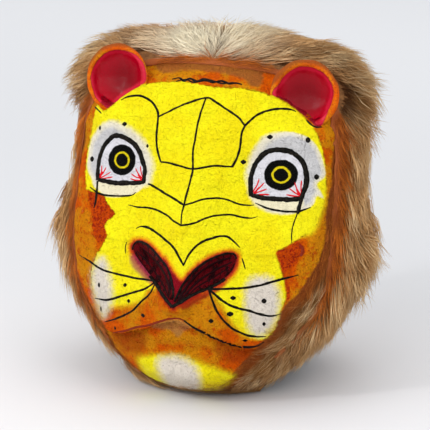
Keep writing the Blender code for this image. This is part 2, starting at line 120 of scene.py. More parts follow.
# height, half, cheek, ridge, spread, square, waist, back: shares of the shell's sizes
shellSections = (
    (0.000, 0.56, 0.47, 0.49, 0.35, 2.2, 0.00, 0.96),
    (0.035, 0.62, 0.64, 0.73, 0.36, 2.2, 0.00, 0.98),
    (0.068, 0.67, 0.76, 0.88, 0.36, 2.3, 0.00, 0.99),
    (0.102, 0.74, 0.83, 0.97, 0.36, 2.4, 0.00, 1.00),
    (0.135, 0.79, 0.85, 0.95, 0.38, 2.6, 0.00, 1.00),
    (0.165, 0.83, 0.85, 0.92, 0.40, 2.8, 0.00, 1.00),
    (0.195, 0.87, 0.85, 0.94, 0.42, 3.0, 0.00, 1.00),
    (0.230, 0.90, 0.85, 0.97, 0.42, 3.2, 0.00, 1.00),
    (0.262, 0.93, 0.84, 0.99, 0.40, 3.5, 0.00, 1.00),
    (0.292, 0.95, 0.83, 1.00, 0.36, 3.8, 0.00, 1.00),
    (0.322, 0.965, 0.82, 1.00, 0.33, 4.0, 0.00, 1.00),
    (0.355, 0.98, 0.79, 0.99, 0.32, 4.2, 0.00, 1.00),
    (0.392, 0.99, 0.76, 0.96, 0.32, 4.4, 0.00, 1.00),
    (0.430, 1.00, 0.73, 0.94, 0.32, 4.6, 0.00, 1.00),
    (0.472, 1.00, 0.70, 0.93, 0.31, 4.8, 0.00, 1.00),
    (0.512, 1.00, 0.66, 0.92, 0.28, 4.8, 0.00, 1.00),
    (0.552, 1.00, 0.62, 0.89, 0.26, 4.8, 0.00, 1.00),
    (0.595, 1.00, 0.57, 0.80, 0.25, 4.8, 0.00, 1.00),
    (0.640, 1.00, 0.51, 0.70, 0.26, 4.7, 0.00, 1.00),
    (0.690, 0.99, 0.46, 0.60, 0.28, 4.5, 0.00, 0.99),
    (0.740, 0.985, 0.41, 0.50, 0.32, 4.1, -0.02, 0.98),
    (0.790, 0.97, 0.36, 0.42, 0.38, 3.7, -0.04, 0.96),
    (0.838, 0.93, 0.30, 0.34, 0.44, 3.3, -0.08, 0.93),
    (0.880, 0.86, 0.24, 0.26, 0.50, 2.9, -0.12, 0.88),
    (0.915, 0.76, 0.15, 0.17, 0.50, 2.6, -0.18, 0.81),
    (0.945, 0.64, 0.04, 0.05, 0.50, 2.4, -0.24, 0.72),
    (0.970, 0.49, -0.10, -0.10, 0.50, 2.2, -0.30, 0.62),
    (0.988, 0.32, -0.21, -0.21, 0.50, 2.0, -0.34, 0.52),
)

# name, side, height, long, wide, tilt, amount, flat
faceForms = (
    ("eye socket", 0.63, 0.665, 0.33, 0.26, 0.0, -0.060, 1.0),
    ("eye ball", 0.63, 0.680, 0.21, 0.17, 0.0, 0.055, 1.0),
    ("brow", 0.60, 0.785, 0.32, 0.11, -6.0, 0.040, 1.0),
    ("cheek", 0.66, 0.430, 0.30, 0.26, 0.0, 0.030, 1.0),
    ("whisker pad", 0.33, 0.305, 0.27, 0.16, 8.0, 0.055, 1.0),
    ("nostril wing", 0.26, 0.445, 0.34, 0.17, 40.0, 0.035, 1.0),
    ("nostril", 0.205, 0.402, 0.26, 0.070, 40.0, -0.095, 1.5),
    ("nose tip", 0.0, 0.335, 0.16, 0.110, 0.0, 0.035, 1.0),
    ("chin dip", 0.0, 0.178, 0.36, 0.055, 0.0, -0.030, 1.0),
)

# side, height
mouthLine = (
    (0.00, 0.272),
    (0.14, 0.255),
    (0.30, 0.222),
    (0.44, 0.198),
    (0.56, 0.188),
    (0.62, 0.188),
)

# height, forward: side view of the line where the fur starts
furLine = (
    (0.000, 0.790),
    (0.040, 0.770),
    (0.083, 0.750),
    (0.148, 0.705),
    (0.237, 0.615),
    (0.325, 0.515),
    (0.444, 0.430),
    (0.562, 0.350),
    (0.678, 0.280),
    (0.769, 0.210),
    (0.873, 0.105),
    (0.950, 0.045),
    (1.020, -0.035),
    (1.110, -0.170),
)

# Areas of paint on the face, as outlines in the picture's pixels
paintAreas = {
    "face": [(82, 75), (81, 96), (82, 116), (86, 137), (82, 154), (78, 175), (74, 208), (73, 236),
        (74, 256), (78, 274), (85, 292), (93, 308), (104, 325), (111, 338), (119, 351), (132, 364),
        (146, 375), (162, 381), (180, 384), (200, 384), (216, 381), (230, 376), (241, 364),
        (254, 351), (262, 341), (275, 325), (284, 307), (297, 294), (308, 278), (318, 262),
        (325, 240), (326, 215), (328, 199), (331, 185), (332, 164), (334, 144), (338, 123),
        (341, 104), (338, 60), (215, 40), (110, 40), (84, 56)],
    "crownBrown": [(150, 40), (153, 60), (158, 70), (166, 73), (186, 70), (206, 71), (226, 74),
        (244, 79), (252, 86), (261, 84), (263, 66), (258, 44), (215, 36)],
    "fold": [(150, 326), (163, 321.5), (178, 319.5), (191, 327), (184, 331), (178, 337),
        (170, 330), (160, 329)],
    "burntChin": [(112, 334), (124, 332.5), (138, 330), (146, 338), (143, 350), (131, 352),
        (120, 347)],
    "burntRight": [(218, 342), (234, 347), (252, 349), (262, 344), (258, 354), (244, 362),
        (228, 362), (216, 352)],
    "yellow": [(96, 104), (103, 110), (110, 107), (119, 99), (132, 89), (145, 84), (164, 82),
        (185, 82), (215, 87), (236, 88), (253, 90), (270, 95), (284, 101), (297, 110), (308, 121),
        (316, 132), (323, 151), (326, 175), (326, 199), (322, 215), (314, 233), (303, 237),
        (294, 242), (284, 248), (276, 252), (279, 262), (281, 270), (284, 280), (286, 297),
        (281, 312), (274, 331), (263, 340), (247, 337), (235, 328), (226, 314), (219, 303),
        (208, 294), (176, 296), (150, 290), (143, 300), (128, 306), (112, 308), (103, 317),
        (97, 305), (92, 288), (91, 272), (95, 258), (101, 247), (107, 237), (105, 228), (106, 222),
        (111, 218), (115, 214), (111, 208), (107, 203), (104, 195), (96, 193), (88, 190),
        (86, 187), (85.5, 173), (87, 154), (90, 138), (93, 122), (95, 112)],
    "chinYellow": [(138, 358), (154, 354), (172, 353), (187, 356), (205, 364), (223, 370),
        (235, 375), (228, 384), (211, 392), (185, 396), (160, 392), (147, 380), (140, 368)],
    "chinWhite": [(158, 359), (165, 356), (177, 356), (189, 361), (196, 369), (200, 380),
        (198, 392), (180, 396), (168, 388), (161, 376), (157, 366)],
    "whiteRight": [(248, 283), (256, 277), (268, 278), (275, 284), (279, 297), (278, 311),
        (273, 325), (263, 335), (252, 333), (247, 319), (245, 300)],
    "whiteLeft": [(92, 275), (95, 265), (100, 258), (105, 260), (109, 273), (112, 292), (110, 308),
        (104, 318), (98, 308), (93, 292)],
    "deepLeft": [(88, 191), (97, 193), (105, 197), (108, 203), (111, 208), (116, 214), (110, 219),
        (106, 223), (108, 232), (105, 240), (98, 242), (93, 234), (92, 222), (91, 208)],
    "deepRight": [(276, 252), (284, 248), (294, 242), (301, 243), (305, 250), (300, 256),
        (295, 266), (286, 272), (289, 284), (290, 297), (285, 303), (285, 290), (281, 270)],
    "paleLeft": [(72, 212), (84, 207), (92, 214), (97, 240), (91, 253), (80, 264), (73, 250)],
    "paleRight": [(303, 226), (312, 216), (326, 204), (328, 230), (324, 250), (314, 272),
        (301, 288), (295, 276), (299, 262), (307, 252), (307, 240)],
    "surroundLeft": [(87, 168), (88, 155), (91, 140), (97, 129), (104, 122), (113, 120),
        (123, 123), (134, 129), (143, 138), (150, 150), (154, 163), (153, 176), (147, 187),
        (120, 190), (97, 190), (91, 178)],
    "surroundRight": [(245, 172), (249, 158), (255, 146), (264, 136), (275, 132), (293, 132),
        (309, 138), (319, 150), (325, 168), (325, 177), (317, 184), (320, 190), (324, 199),
        (317, 196), (314, 204), (305, 210), (285, 215), (262, 210), (250, 198)],
    "lidLeft": [(97, 181), (120, 184), (143, 183), (137, 192), (122, 196.5), (104, 195)],
    "lidRight": [(251, 195), (277, 200), (302, 199), (300, 211), (281, 212), (262, 207)],
    "eyeLeft": [(99, 178.5), (98.5, 164), (102.5, 149), (109, 140.5), (117, 136), (129, 140.5),
        (138, 149), (143, 162), (144.5, 169), (143, 181.5), (115, 182)],
    "eyeRight": [(251, 194), (251.5, 177), (256.5, 163.5), (267, 152.5), (281, 150.5), (294, 154),
        (303, 163.5), (306, 175.5), (304.5, 186.5), (301, 197.5), (277, 198)],
    "nostrilLeft": [(132.5, 248), (135, 243), (141, 242), (148, 245.5), (156, 253.6), (163, 262),
        (168, 270.5), (171, 279), (173, 288), (174, 299), (169, 299), (162, 290), (156, 282),
        (147, 270.5), (138, 259)],
    "nostrilRight": [(236.5, 259), (235, 255), (230, 253.6), (221, 255), (209, 260), (200, 266),
        (191, 274), (184, 283), (179, 292), (175, 302), (182.5, 301), (191, 296), (200, 291.5),
        (214, 286), (225, 278), (232.5, 270.5)],
    "pad": [(163, 260), (172, 274), (181, 283), (189, 277), (199, 266), (188, 280), (180, 293),
        (175, 306), (171, 306), (160, 290), (168, 290), (170, 277)],
    "blush": [(131, 256), (137, 258), (146, 268), (154, 279), (150, 282), (141, 275), (133, 266)],
    "earLeft": [(91, 78), (92.7, 69.7), (98, 60.5), (106, 53), (117.4, 50), (129, 52), (138, 57),
        (144, 65), (146, 74), (145.5, 81), (140.4, 85), (133.5, 89), (124, 95), (115, 103),
        (108, 108.5), (102.5, 104.5), (96.7, 98.4), (93.3, 90.4)],
    "earRight": [(272.5, 94), (276, 88), (281.5, 81.5), (287, 75), (293, 70), (300.5, 67),
        (312, 68), (323.5, 73), (331, 83), (333.4, 94), (330, 105), (325.5, 117), (321, 126),
        (315, 126), (308, 118.5), (296, 110), (284, 101)],
    "redUnder": [(178, 305), (188, 299), (200, 294), (214, 289), (226, 281), (222, 288),
        (208, 296), (194, 304), (184, 309)],
}
# Where the fur lies in its own shadow beside the ears
furGaps = (
    [(86, 84), (86, 70), (90, 58), (98, 48), (108, 42), (120, 39.5), (132, 41), (142, 48),
        (149, 58)],
    [(268, 82), (272, 71), (280, 62), (292, 57), (305, 55), (320, 59), (332, 67), (341, 79),
        (345, 94), (343, 108)],
)
# How soft the edges are, in pixels, and the rows and columns where that changes
softness = {
    "crisp": 1.0, "airbrush": 7.0, "white": 6.0, "chin": 6.0, "cheek": 1.6, "strip": 3.4,
    "ragChin": 8.0,
    "muzzleRows": (275.0, 305.0),  # the yellow's edge turns from crisp to airbrushed
    "cheekColumns": (245.0, 262.0),  # the right cheek stays crisp
    "stripColumns": (292.0, 306.0),
    "stripRows": (186.0, 204.0, 236.0, 244.0),
    "leftColumns": ((112.0, 150.0), (1.0, 3.2)),  # of the left eye's surround
    "leftRows": ((122.0, 146.0), (0.45, 1.0)),
    "rightColumns": ((250.0, 290.0), (3.2, 1.0)),
    "limit": 30.0,
    "hiddenBack": 0.012,  # metres: no paint behind this and below the height
    "hiddenTop": 0.285,
}

# The irises: middle and half sizes in the picture's pixels
irises = ((122.0, 160.0, 13.8, 15.5), (281.0, 175.0, 17.3, 15.4))

# Brush lines: half width in pixels, share of it left at the start and the end, path in pixels
brushLines = (
    (2.6, 0.9, 0.9, [(98, 180), (98, 172), (98.5, 164), (102.5, 149), (109, 140), (117, 135.5),
        (129, 140), (138, 149), (143, 162), (145, 169), (143.5, 183)]),
    (2.4, 0.8, 0.8, [(98, 179.5), (115, 183), (130, 183), (144, 182.5)]),
    (2.6, 0.9, 0.9, [(251, 196), (250.5, 186), (251, 177), (256, 163), (267, 152), (281, 150),
        (294, 153.6), (303, 163), (306.6, 175.5), (305.5, 186.5), (301.5, 198)]),
    (2.6, 0.8, 0.8, [(251, 195), (264, 198), (277, 199), (290, 199.5), (301.5, 198.5)]),
    (1.3, 0.9, 0.3, [(97.5, 181), (96.8, 192), (95.6, 203), (94, 208)]),
    (1.0, 0.4, 0.3, [(90, 187), (97, 192.5), (106, 195), (115, 196), (125, 196), (132, 195),
        (136, 192)]),
    (2.0, 1.0, 0.45, [(302, 197), (299.5, 206), (297.5, 214)]),
    (0.65, 1.0, 0.4, [(297.5, 213), (294, 223), (292, 231), (291.5, 243)]),
    (1.1, 0.3, 0.3, [(255, 203), (261, 205.5), (267, 208), (281, 211), (297, 211.5), (305, 209.5),
        (311, 207)]),
    (1.2, 0.4, 0.9, [(121, 100), (127.5, 97), (137, 95.5), (145, 97.6), (152, 102), (157, 110),
        (158, 117), (157, 129), (156.5, 143), (158.5, 154), (161, 162)]),
    (1.1, 0.8, 0.8, [(161, 162), (167, 162.5), (178, 165.5), (193, 169), (203, 167.5), (215, 166),
        (227, 166.4), (232, 166.8)]),
    (1.2, 1.4, 0.8, [(232, 167), (237, 158), (240, 147), (242, 133), (245, 125.5)]),
    (1.2, 1.0, 0.25, [(245, 125.5), (252, 119), (259, 114), (270, 110), (281, 108.7), (292, 109.7),
        (296, 111.5)]),
    (1.1, 0.8, 1.0, [(158, 117), (171, 110.5), (185, 104), (206, 97.8), (215, 101.5), (226, 109),
        (238, 117), (245, 125.5)]),
    (1.1, 0.9, 0.5, [(206, 98), (201.6, 110), (198, 123), (195.5, 137), (193, 151), (192.7, 169),
        (190, 182), (186.5, 195), (184, 205), (181.7, 215), (181, 225)]),
    (0.8, 0.6, 0.3, [(95, 107), (98, 110), (101.5, 113.5)]),
    (0.9, 0.3, 0.6, [(306, 119.5), (311, 124.5), (316, 127), (322, 127)]),
    (1.2, 0.8, 0.9, [(148, 184), (154, 186.5), (164.5, 193), (177, 200.5), (184, 205.3)]),
    (1.0, 0.9, 0.4, [(184, 205.3), (193, 202.5), (203, 199.5), (215, 198), (226, 199.3),
        (236, 203), (246.5, 205.4), (254, 205)]),
    (1.0, 0.2, 1.0, [(128, 205), (137, 207), (147, 207.5), (158, 210.5), (167, 215.5), (174, 221),
        (181, 225.6)]),
    (1.0, 1.0, 0.2, [(181, 225.6), (188, 224.6), (196, 222.5), (206, 218), (216, 215.6),
        (231, 214.7), (243, 217.6), (252, 218), (257.5, 216.6)]),
    (1.2, 0.3, 0.7, [(136, 228.6), (141, 226.4), (148.6, 227.7), (157.5, 233.5), (165.5, 240),
        (173, 247), (178, 255), (183.4, 265.6)]),
    (1.2, 0.7, 0.3, [(183.4, 265.6), (188, 256), (194, 248.5), (202, 242), (213, 238),
        (220, 236.3), (227, 236.6), (233, 240.6), (240, 247.5)]),
    (0.6, 0.3, 0.3, [(126.7, 242), (125.4, 248), (125.8, 253.6)]),
    (0.7, 0.3, 0.3, [(242, 258), (243.7, 263), (245.4, 269.5)]),
    (1.2, 0.6, 0.7, [(132.5, 250), (133.5, 245.5), (137, 242), (143, 242.5), (150, 247),
        (157, 254.5), (163.5, 262.5), (168.5, 271), (171, 279), (173, 288), (173.6, 298)]),
    (1.3, 0.6, 0.7, [(236.5, 259), (234.5, 254.5), (229, 253.4), (220, 255.3), (209, 260),
        (200, 266), (191, 274), (184, 283), (179, 292), (174, 302)]),
    (1.8, 0.5, 1.0, [(149, 276), (154, 281), (159, 289), (164, 297), (169, 303.5), (172, 307)]),
    (1.9, 1.0, 0.9, [(172, 307), (179, 303), (188, 297.5), (198, 292.5), (208, 288.5), (217, 284),
        (225, 278.6)]),
    (1.1, 0.9, 0.2, [(155, 281), (141, 279), (130, 277), (117, 274), (106, 271), (96, 266),
        (88, 260), (79, 255)]),
    (1.2, 0.8, 0.3, [(154, 283), (144, 289), (130, 293.5), (117, 297.5), (106, 300), (95, 298)]),
    (1.1, 0.8, 0.3, [(155, 284), (149.5, 294), (140, 303), (132, 311), (119, 317.5), (105, 322)]),
    (1.2, 1.3, 0.2, [(210, 289), (229, 288.8), (242, 288.2), (259, 285.6), (273, 281.5),
        (286, 278), (299, 275)]),
    (1.3, 1.3, 0.3, [(209, 289), (215, 294.5), (223, 301), (234, 307), (248, 310.5), (259, 314),
        (270, 316), (281, 314)]),
    (1.2, 1.3, 0.3, [(209, 290), (213, 302), (215.5, 308.5), (220, 316), (227, 324), (234, 329.5),
        (246.5, 335), (256, 336.5), (266, 336.6)]),
    (1.3, 0.7, 0.5, [(184, 320.5), (193, 327), (204, 333), (217, 339), (230, 344), (244, 347),
        (255, 346.4), (264, 342)]),
    (1.2, 0.5, 0.6, [(172, 79.5), (179, 78), (184, 81), (190, 78.6), (197, 81.4), (205, 80),
        (213, 82.3), (221, 81), (229, 83.6), (236, 83), (242, 84.6)]),
    (0.9, 0.5, 0.5, [(176, 81.4), (186, 79.4), (194, 82.4), (203, 78.9), (212, 80.4), (223, 83.6),
        (233, 82)]),
)
redLines = (
    (1.1, 0.3, 0.6, [(113, 333), (118, 332), (124, 331), (136, 327.5), (149, 325), (161, 321),
        (169, 319), (178, 318.4), (184, 320.5)]),
    (1.7, 0.5, 0.5, [(299.5, 245), (302, 248), (302.5, 252), (300.5, 256)]),
)
nostrilLines = (
    (1.5, 0.4, 0.5, [(140, 247), (151, 256), (161, 268), (167, 280), (170.5, 294)]),
    (0.9, 0.4, 0.5, [(137, 251), (148, 263), (157, 275), (164, 287), (169, 298)]),
    (0.6, 0.4, 0.4, [(136, 255), (145, 267), (154, 279), (162, 289)]),
    (1.5, 0.4, 0.5, [(231, 258), (219, 261), (206, 268), (194, 278), (184, 291), (178, 301)]),
    (1.1, 0.4, 0.5, [(232, 262), (221, 267), (207, 275), (195, 284), (186, 294), (179, 302)]),
    (0.7, 0.4, 0.4, [(230, 267), (219, 274), (207, 281), (196, 288), (187, 297)]),
)
veinLines = (
    (0.9, 1.0, 0.1, [(99.5, 177), (103, 173), (106, 167)]),
    (0.9, 1.0, 0.1, [(99.5, 176), (101.5, 171), (102, 165)]),
    (0.9, 1.0, 0.1, [(100, 178), (105, 175.5), (111, 172)]),
    (1.0, 1.0, 0.1, [(100.5, 179), (106, 178), (113, 177)]),
    (1.1, 1.0, 0.2, [(100, 179), (101, 175), (103, 171)]),
    (0.9, 1.0, 0.1, [(142, 178), (138, 174), (135.5, 168)]),
    (0.9, 1.0, 0.1, [(142.5, 177), (141, 172), (140.5, 165.5)]),
    (0.9, 1.0, 0.1, [(142, 179), (136, 177), (131, 173.5)]),
    (1.0, 1.0, 0.1, [(141.5, 180), (136, 180.3), (130, 178.5)]),
    (1.2, 1.0, 0.3, [(142, 180), (139.5, 177.5), (138, 174)]),
    (1.0, 1.0, 0.1, [(253, 192), (256.5, 186), (259, 178.5)]),
    (1.0, 1.0, 0.1, [(253.5, 193), (259, 188), (264.5, 182.5)]),
    (1.0, 1.0, 0.1, [(254, 194), (260, 191.5), (267, 189)]),
    (1.1, 1.0, 0.1, [(255, 195), (262, 194.5), (270, 195)]),
    (1.3, 1.0, 0.3, [(254, 193.5), (257, 190), (260, 187)]),
    (1.0, 1.0, 0.1, [(301.5, 194), (301, 187), (301.5, 180)]),
    (1.0, 1.0, 0.1, [(301, 195), (297, 189), (294.5, 182)]),
    (1.0, 1.0, 0.1, [(300.5, 196), (294, 192), (289, 188)]),
    (1.1, 1.0, 0.1, [(300, 197), (293, 196), (286, 194.5)]),
    (1.3, 1.0, 0.3, [(300.5, 196), (298, 192.5), (296.5, 188.5)]),
)
# Dots: middle, half width, half height in pixels
brushDots = (
    (100, 128, 1.3, 2.3), (124.5, 124, 2.3, 2.2), (147.5, 146, 1.3, 2.0), (92, 159, 2.0, 2.9),
    (270, 137, 2.6, 2.4), (308, 140, 2.2, 3.0), (316.5, 177, 2.1, 2.9), (243.3, 162, 2.5, 2.4),
    (99, 285, 1.3, 2.6), (125, 285, 1.9, 2.1), (128.6, 301, 2.0, 2.0), (143, 315.5, 2.3, 2.0),
    (101, 309, 1.0, 2.6), (115, 328, 1.3, 2.0), (233, 298, 2.5, 2.2), (264, 301, 2.2, 2.6),
    (230, 314, 2.9, 2.5), (264, 324, 1.5, 2.1), (245, 340.5, 2.5, 1.4), (211, 321, 2.3, 2.2),
    (92.5, 217, 1.5, 1.1), (93, 221, 1.3, 1.0), (245, 194, 1.3, 1.0),
)


def linear(red, green, blue):
    parts = [part / 255.0 for part in (red, green, blue)]
    parts = [p / 12.92 if p <= 0.04045 else ((p + 0.055) / 1.055) ** 2.4 for p in parts]
    return (*parts, 1.0)


# Paint and fur colours
palette = {
    "yellow": (252, 241, 20), "yellowWarm": (249, 229, 12), "olive": (222, 203, 20),
    "orange": (255, 106, 0), "orangePale": (255, 164, 16), "deep": (236, 86, 6),
    "deepRed": (186, 42, 14), "burnt": (186, 68, 10), "fold": (214, 146, 84),
    "crown": (190, 112, 50), "white": (226, 216, 208), "grey": (203, 202, 208),
    "cream": (238, 230, 210), "lid": (244, 234, 200), "halo": (190, 30, 24),
    "blush": (160, 52, 84), "pad": (136, 8, 26), "nostril": (92, 2, 12), "nostrilDark": (30, 1, 4),
    "sclera": (226, 224, 230), "ink": (2, 2, 2), "ring": (226, 205, 20), "red": (205, 20, 32),
    "mouthRed": (126, 34, 12), "paper": (176, 160, 134), "paperDark": (120, 104, 84),
    # earHollowShade is painted shade deep in the ears' bowls, earRimHighlight a painted highlight
    # along their edge
    "ear": (172, 2, 30), "earHollowShade": (128, 0, 16), "earRimHighlight": (206, 34, 60),
    # furRootShade is the fur's darker base and painted shade deep in the pile
    "furRootShade": (116, 76, 40), "fur": (212, 162, 104), "furLight": (240, 208, 158),
    # furHighlight is a painted highlight on the top of the crown
    "furHighlight": (255, 246, 220), "furShade": (160, 112, 62), "furDark": (78, 46, 24),
    "spray": (216, 122, 42), "sprayDark": (164, 84, 34), "floor": (227, 226, 228),
    "floorShadeBehind": (215, 216, 219), "floorFar": (226, 227, 230),
# floorShadeBehind is painted shade on the floor behind the mask
}
palette = {name: linear(*parts) for name, parts in palette.items()}


def addObject(name, data):
    made = bpy.data.objects.new(name, data)
    bpy.context.scene.collection.objects.link(made)
    return made


def makeCamera():
    azimuth, elevation = math.radians(view["azimuth"]), math.radians(view["elevation"])
    away = Vector((
        math.sin(azimuth) * math.cos(elevation),
        -math.cos(azimuth) * math.cos(elevation),
        math.sin(elevation),
    ))
    aim = Vector((view["aimSide"], shift, view["aimHeight"]))
    data = bpy.data.cameras.new("camera")
    data.sensor_width = view["sensor"]
    data.lens = view["sensor"] * view["distance"] / view["span"]
    data.clip_end = 50.0
    camera = addObject("camera", data)
    camera.location = aim + away * view["distance"]
    turn = away.to_track_quat("Z", "Y")
    camera.rotation_euler = turn.to_euler()
    bpy.context.scene.camera = camera
    side, up = turn @ Vector((1, 0, 0)), turn @ Vector((0, 1, 0))
    return {"place": camera.location.copy(), "side": side, "up": up, "ahead": -away}


def toPixels(points):
    offset = points - np.array(lens["place"])
    depth = offset @ np.array(lens["ahead"])
    perMetre = view["distance"] * view["pixels"] / view["span"] / depth
    across = view["middle"] + offset @ np.array(lens["side"]) * perMetre
    down = view["middle"] - offset @ np.array(lens["up"]) * perMetre
    return np.column_stack((across, down))


def rayAt(across, down):
    unit = view["span"] / view["pixels"] / view["distance"]
    way = lens["ahead"] + lens["side"] * (across - view["middle"]) * unit
    way -= lens["up"] * (down - view["middle"]) * unit
    return lens["place"], way.normalized()


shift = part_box("face_shell")[1].y - shell["back"]  # from the shell's own middle to the frame's
lens = makeCamera()
print("stage: camera")


def smoothRows(table, rows):
    values = np.array(table, dtype=float)
    slopes = np.gradient(values, axis=0)
    rows = np.clip(np.asarray(rows, dtype=float), 0.0, len(values) - 1.0)
    first = np.minimum(rows.astype(int), len(values) - 2)
    t = (rows - first)[:, None]
    start, end, rise, fall = values[first], values[first + 1], slopes[first], slopes[first + 1]
    return (
        (2 * t**3 - 3 * t**2 + 1) * start
        + (t**3 - 2 * t**2 + t) * rise
        + (3 * t**2 - 2 * t**3) * end
        + (t**3 - t**2) * fall
    )


def smoothPath(points, step, closed=False):
    points = [np.array(p, dtype=float) for p in points]
    count = len(points)
    path = []
    for i in range(count if closed else count - 1):
        if closed:
            a, b, c, d = (points[(i + k) % count] for k in (-1, 0, 1, 2))
        else:
            a, b, c, d = (points[min(max(i + k, 0), count - 1)] for k in (-1, 0, 1, 2))
        pieces = max(int(math.ceil(np.linalg.norm(c - b) / step)), 1)
        for k in range(pieces):
            t = k / pieces
            path.append(0.5 * (
                2 * b + (c - a) * t + (2 * a - 5 * b + 4 * c - d) * t**2
                + (3 * b - a - 3 * c + d) * t**3
            ))
    if not closed:
        path.append(points[-1])
    return np.array(path)


def signedDistance(places, outline):
    # above zero inside, in pixels
    px, py = places[:, 0], places[:, 1]
    near = np.full(len(px), 1e9)
    inside = np.zeros(len(px), dtype=bool)
    corners = smoothPath(outline, 3.0, closed=True)
    for (ax, ay), (bx, by) in zip(corners, np.roll(corners, -1, axis=0)):
        ex, ey = bx - ax, by - ay
        t = np.clip(((px - ax) * ex + (py - ay) * ey) / max(ex * ex + ey * ey, 1e-9), 0.0, 1.0)
        near = np.minimum(near, np.hypot(px - ax - t * ex, py - ay - t * ey))
        if ay != by:
            crosses = (ay > py) != (by > py)
            inside ^= crosses & (px < (bx - ax) * (py - ay) / (by - ay) + ax)
    return np.where(inside, near, -near)


def pathDistance(places, path):
    near = np.full(len(places), 1e9)
    for start, end in zip(path, path[1:]):
        start, along = np.array(start, dtype=float), np.subtract(end, start)
        t = np.clip((places - start) @ along / max(along @ along, 1e-9), 0.0, 1.0)
        near = np.minimum(near, np.linalg.norm(places - start - t[:, None] * along, axis=1))
    return near


def bell(value):
    return np.exp(-(value**2))


def ramp(value, start, width):
    return np.clip((value - start) / width, 0.0, 1.0)


def faceRelief(x, z):
    side = np.abs(x) / shell["halfWidth"]
    push = np.zeros_like(x)
    for _, atSide, height, halfLong, halfWide, tilt, amount, flat in faceForms:
        across = side - atSide
        up = (z - height * shell["height"]) / shell["halfWidth"]
        turn = math.radians(tilt)
        along = across * math.cos(turn) + up * math.sin(turn)
        over = up * math.cos(turn) - across * math.sin(turn)
        distance = (along / halfLong) ** 2 + (over / halfWide) ** 2
        push += amount * shell["faceReach"] * np.exp(-(distance**flat))
    sides, heights = np.array(mouthLine).T
    over = z - np.interp(side, sides, heights) * shell["height"]
    fade = np.clip(1.0 - (side / sides[-1] - 1.0) / shell["cornerFade"], 0.0, 1.0)
    above, below = bell(over / (1.3 * shell["lipFade"])), bell(over / shell["lipFade"])
    lip = np.where(over >= 0.0, above, -below)
    push += shell["lipStep"] * fade * lip
    line = (shell["hairlineHeight"] - shell["hairlineDrop"] * side**2) * shell["height"]
    return push + shell["hairlineRoll"] * bell((z - line) / shell["hairlineWidth"])


def noseRelief(x, z):
    height = z / shell["height"]
    top, tip = shell["noseTop"], shell["noseTip"]
    over = (1.0 - shell["noseLoss"]) * bell((height - top) / shell["noseTopFade"])
    climb = (height - tip) / (top - tip)
    half = shell["noseTipHalf"] + shell["noseWidening"] * np.maximum(climb, 0.0)
    across = np.exp(-((x / (half * shell["halfWidth"])) ** 4))
    under = across * bell((height - tip) / shell["noseTipFade"])
    leaf = np.where(climb < 0.0, under, across * (1.0 - shell["noseLoss"] * climb))
    return shell["noseReach"] * np.where(height > top, over, leaf)


def shellOutline(half, cheek, waist, square, back):
    angle = np.linspace(0.0, math.pi, shell["outlinePoints"])
    roundness = shell["backRoundness"]
    ahead = angle <= math.pi / 2
    sine, cosine = np.abs(np.sin(angle)), np.abs(np.cos(angle))
    x = half * np.where(ahead, sine ** (2.0 / square), sine**roundness)
    front = waist + (cheek - waist) * cosine ** (2.0 / square)
    forward = np.where(ahead, front, waist - (back + waist) * cosine**roundness)
    points = []
    for mask, count, first in ((ahead, shell["frontCells"], 0), (~ahead, shell["backCells"], 1)):
        xs, ys = x[mask], forward[mask]
        if first:
            xs, ys = np.append(x[ahead][-1], xs), np.append(forward[ahead][-1], ys)
        run = np.concatenate(([0.0], np.cumsum(np.hypot(np.diff(xs), np.diff(ys)))))
        crowding = 1.0 if first else shell["crowding"]
        places = run[-1] * np.linspace(0.0, 1.0, count + 1)[first:] ** crowding
        points.append(np.column_stack((np.interp(places, run, xs), np.interp(places, run, ys))))
    halfRing = np.vstack(points)
    mirrored = halfRing[-2:0:-1] * np.array((-1.0, 1.0))
    return np.vstack((halfRing, mirrored))


def shellGrid():
    # rows of points (side, forward, height) of the outer skin
    scale = np.array((
        shell["height"], shell["halfWidth"], shell["faceReach"], shell["faceReach"],
        shell["halfWidth"], 1.0, shell["faceReach"], shell["back"],
    ))
    table = np.array(shellSections) * scale
    fine = smoothRows(table, np.linspace(0.0, len(table) - 1.0, 1200))
    steps = np.hypot(np.diff(fine[:, 0]), np.hypot(np.diff(fine[:, 1]), np.diff(fine[:, 2])))
    run = np.concatenate(([0.0], np.cumsum(steps)))
    picks = np.interp(np.linspace(0.0, run[-1], shell["rows"]), run, np.arange(1200.0))
    rows = smoothRows(table, picks * (len(table) - 1.0) / 1199.0)
    grid = []
    for z, half, cheek, ridge, spread, square, waist, back in rows:
        ring = shellOutline(half, cheek, waist, square, back)
        x, forward = ring[:, 0], ring[:, 1]
        facing = np.clip((forward - waist) / max(cheek - waist, 1e-6), 0.0, 1.0)
        height = np.full_like(x, z)
        form = (ridge - cheek) * bell(x / spread) + faceRelief(x, height)
        form += noseRelief(x, height)
        grid.append(np.column_stack((x, forward + facing ** shell["formFade"] * form, height)))
    return np.array(grid)


def raiseArches(grid):
    # the rim climbs over the shoulders, and the rows above it make room
    ease = shell["archEase"]
    for column in range(grid.shape[1]):
        line = grid[:, column].copy()
        rim = 0.0
        for _ in range(6):
            forward = np.interp(rim, line[:, 2], line[:, 1])
            share = (forward - shell["archForward"]) / shell["archHalfLength"]
            rim = shell["archHeight"] * math.sqrt(max(1.0 - share**2, 0.0))
        low = line[:, 2] < ease
        heights = np.where(low, rim + line[:, 2] * (ease - rim) / ease, line[:, 2])
        for axis in (0, 1):
            grid[:, column, axis] = np.interp(heights, line[:, 2], line[:, axis])
        grid[:, column, 2] = heights
    return grid


def gridNormals(points):
    # outward, for rings that run to the viewer's right and rows that climb
    across = np.roll(points, -1, axis=1) - np.roll(points, 1, axis=1)
    up = np.gradient(points, axis=0)
    normals = np.cross(across, up)
    return normals / np.maximum(np.linalg.norm(normals, axis=2, keepdims=True), 1e-12)


def wobble(points, size, seed):
    offset = Vector((seed, seed * 0.7, -seed))
    return np.array([noise.noise(Vector(p) / size + offset) for p in points])


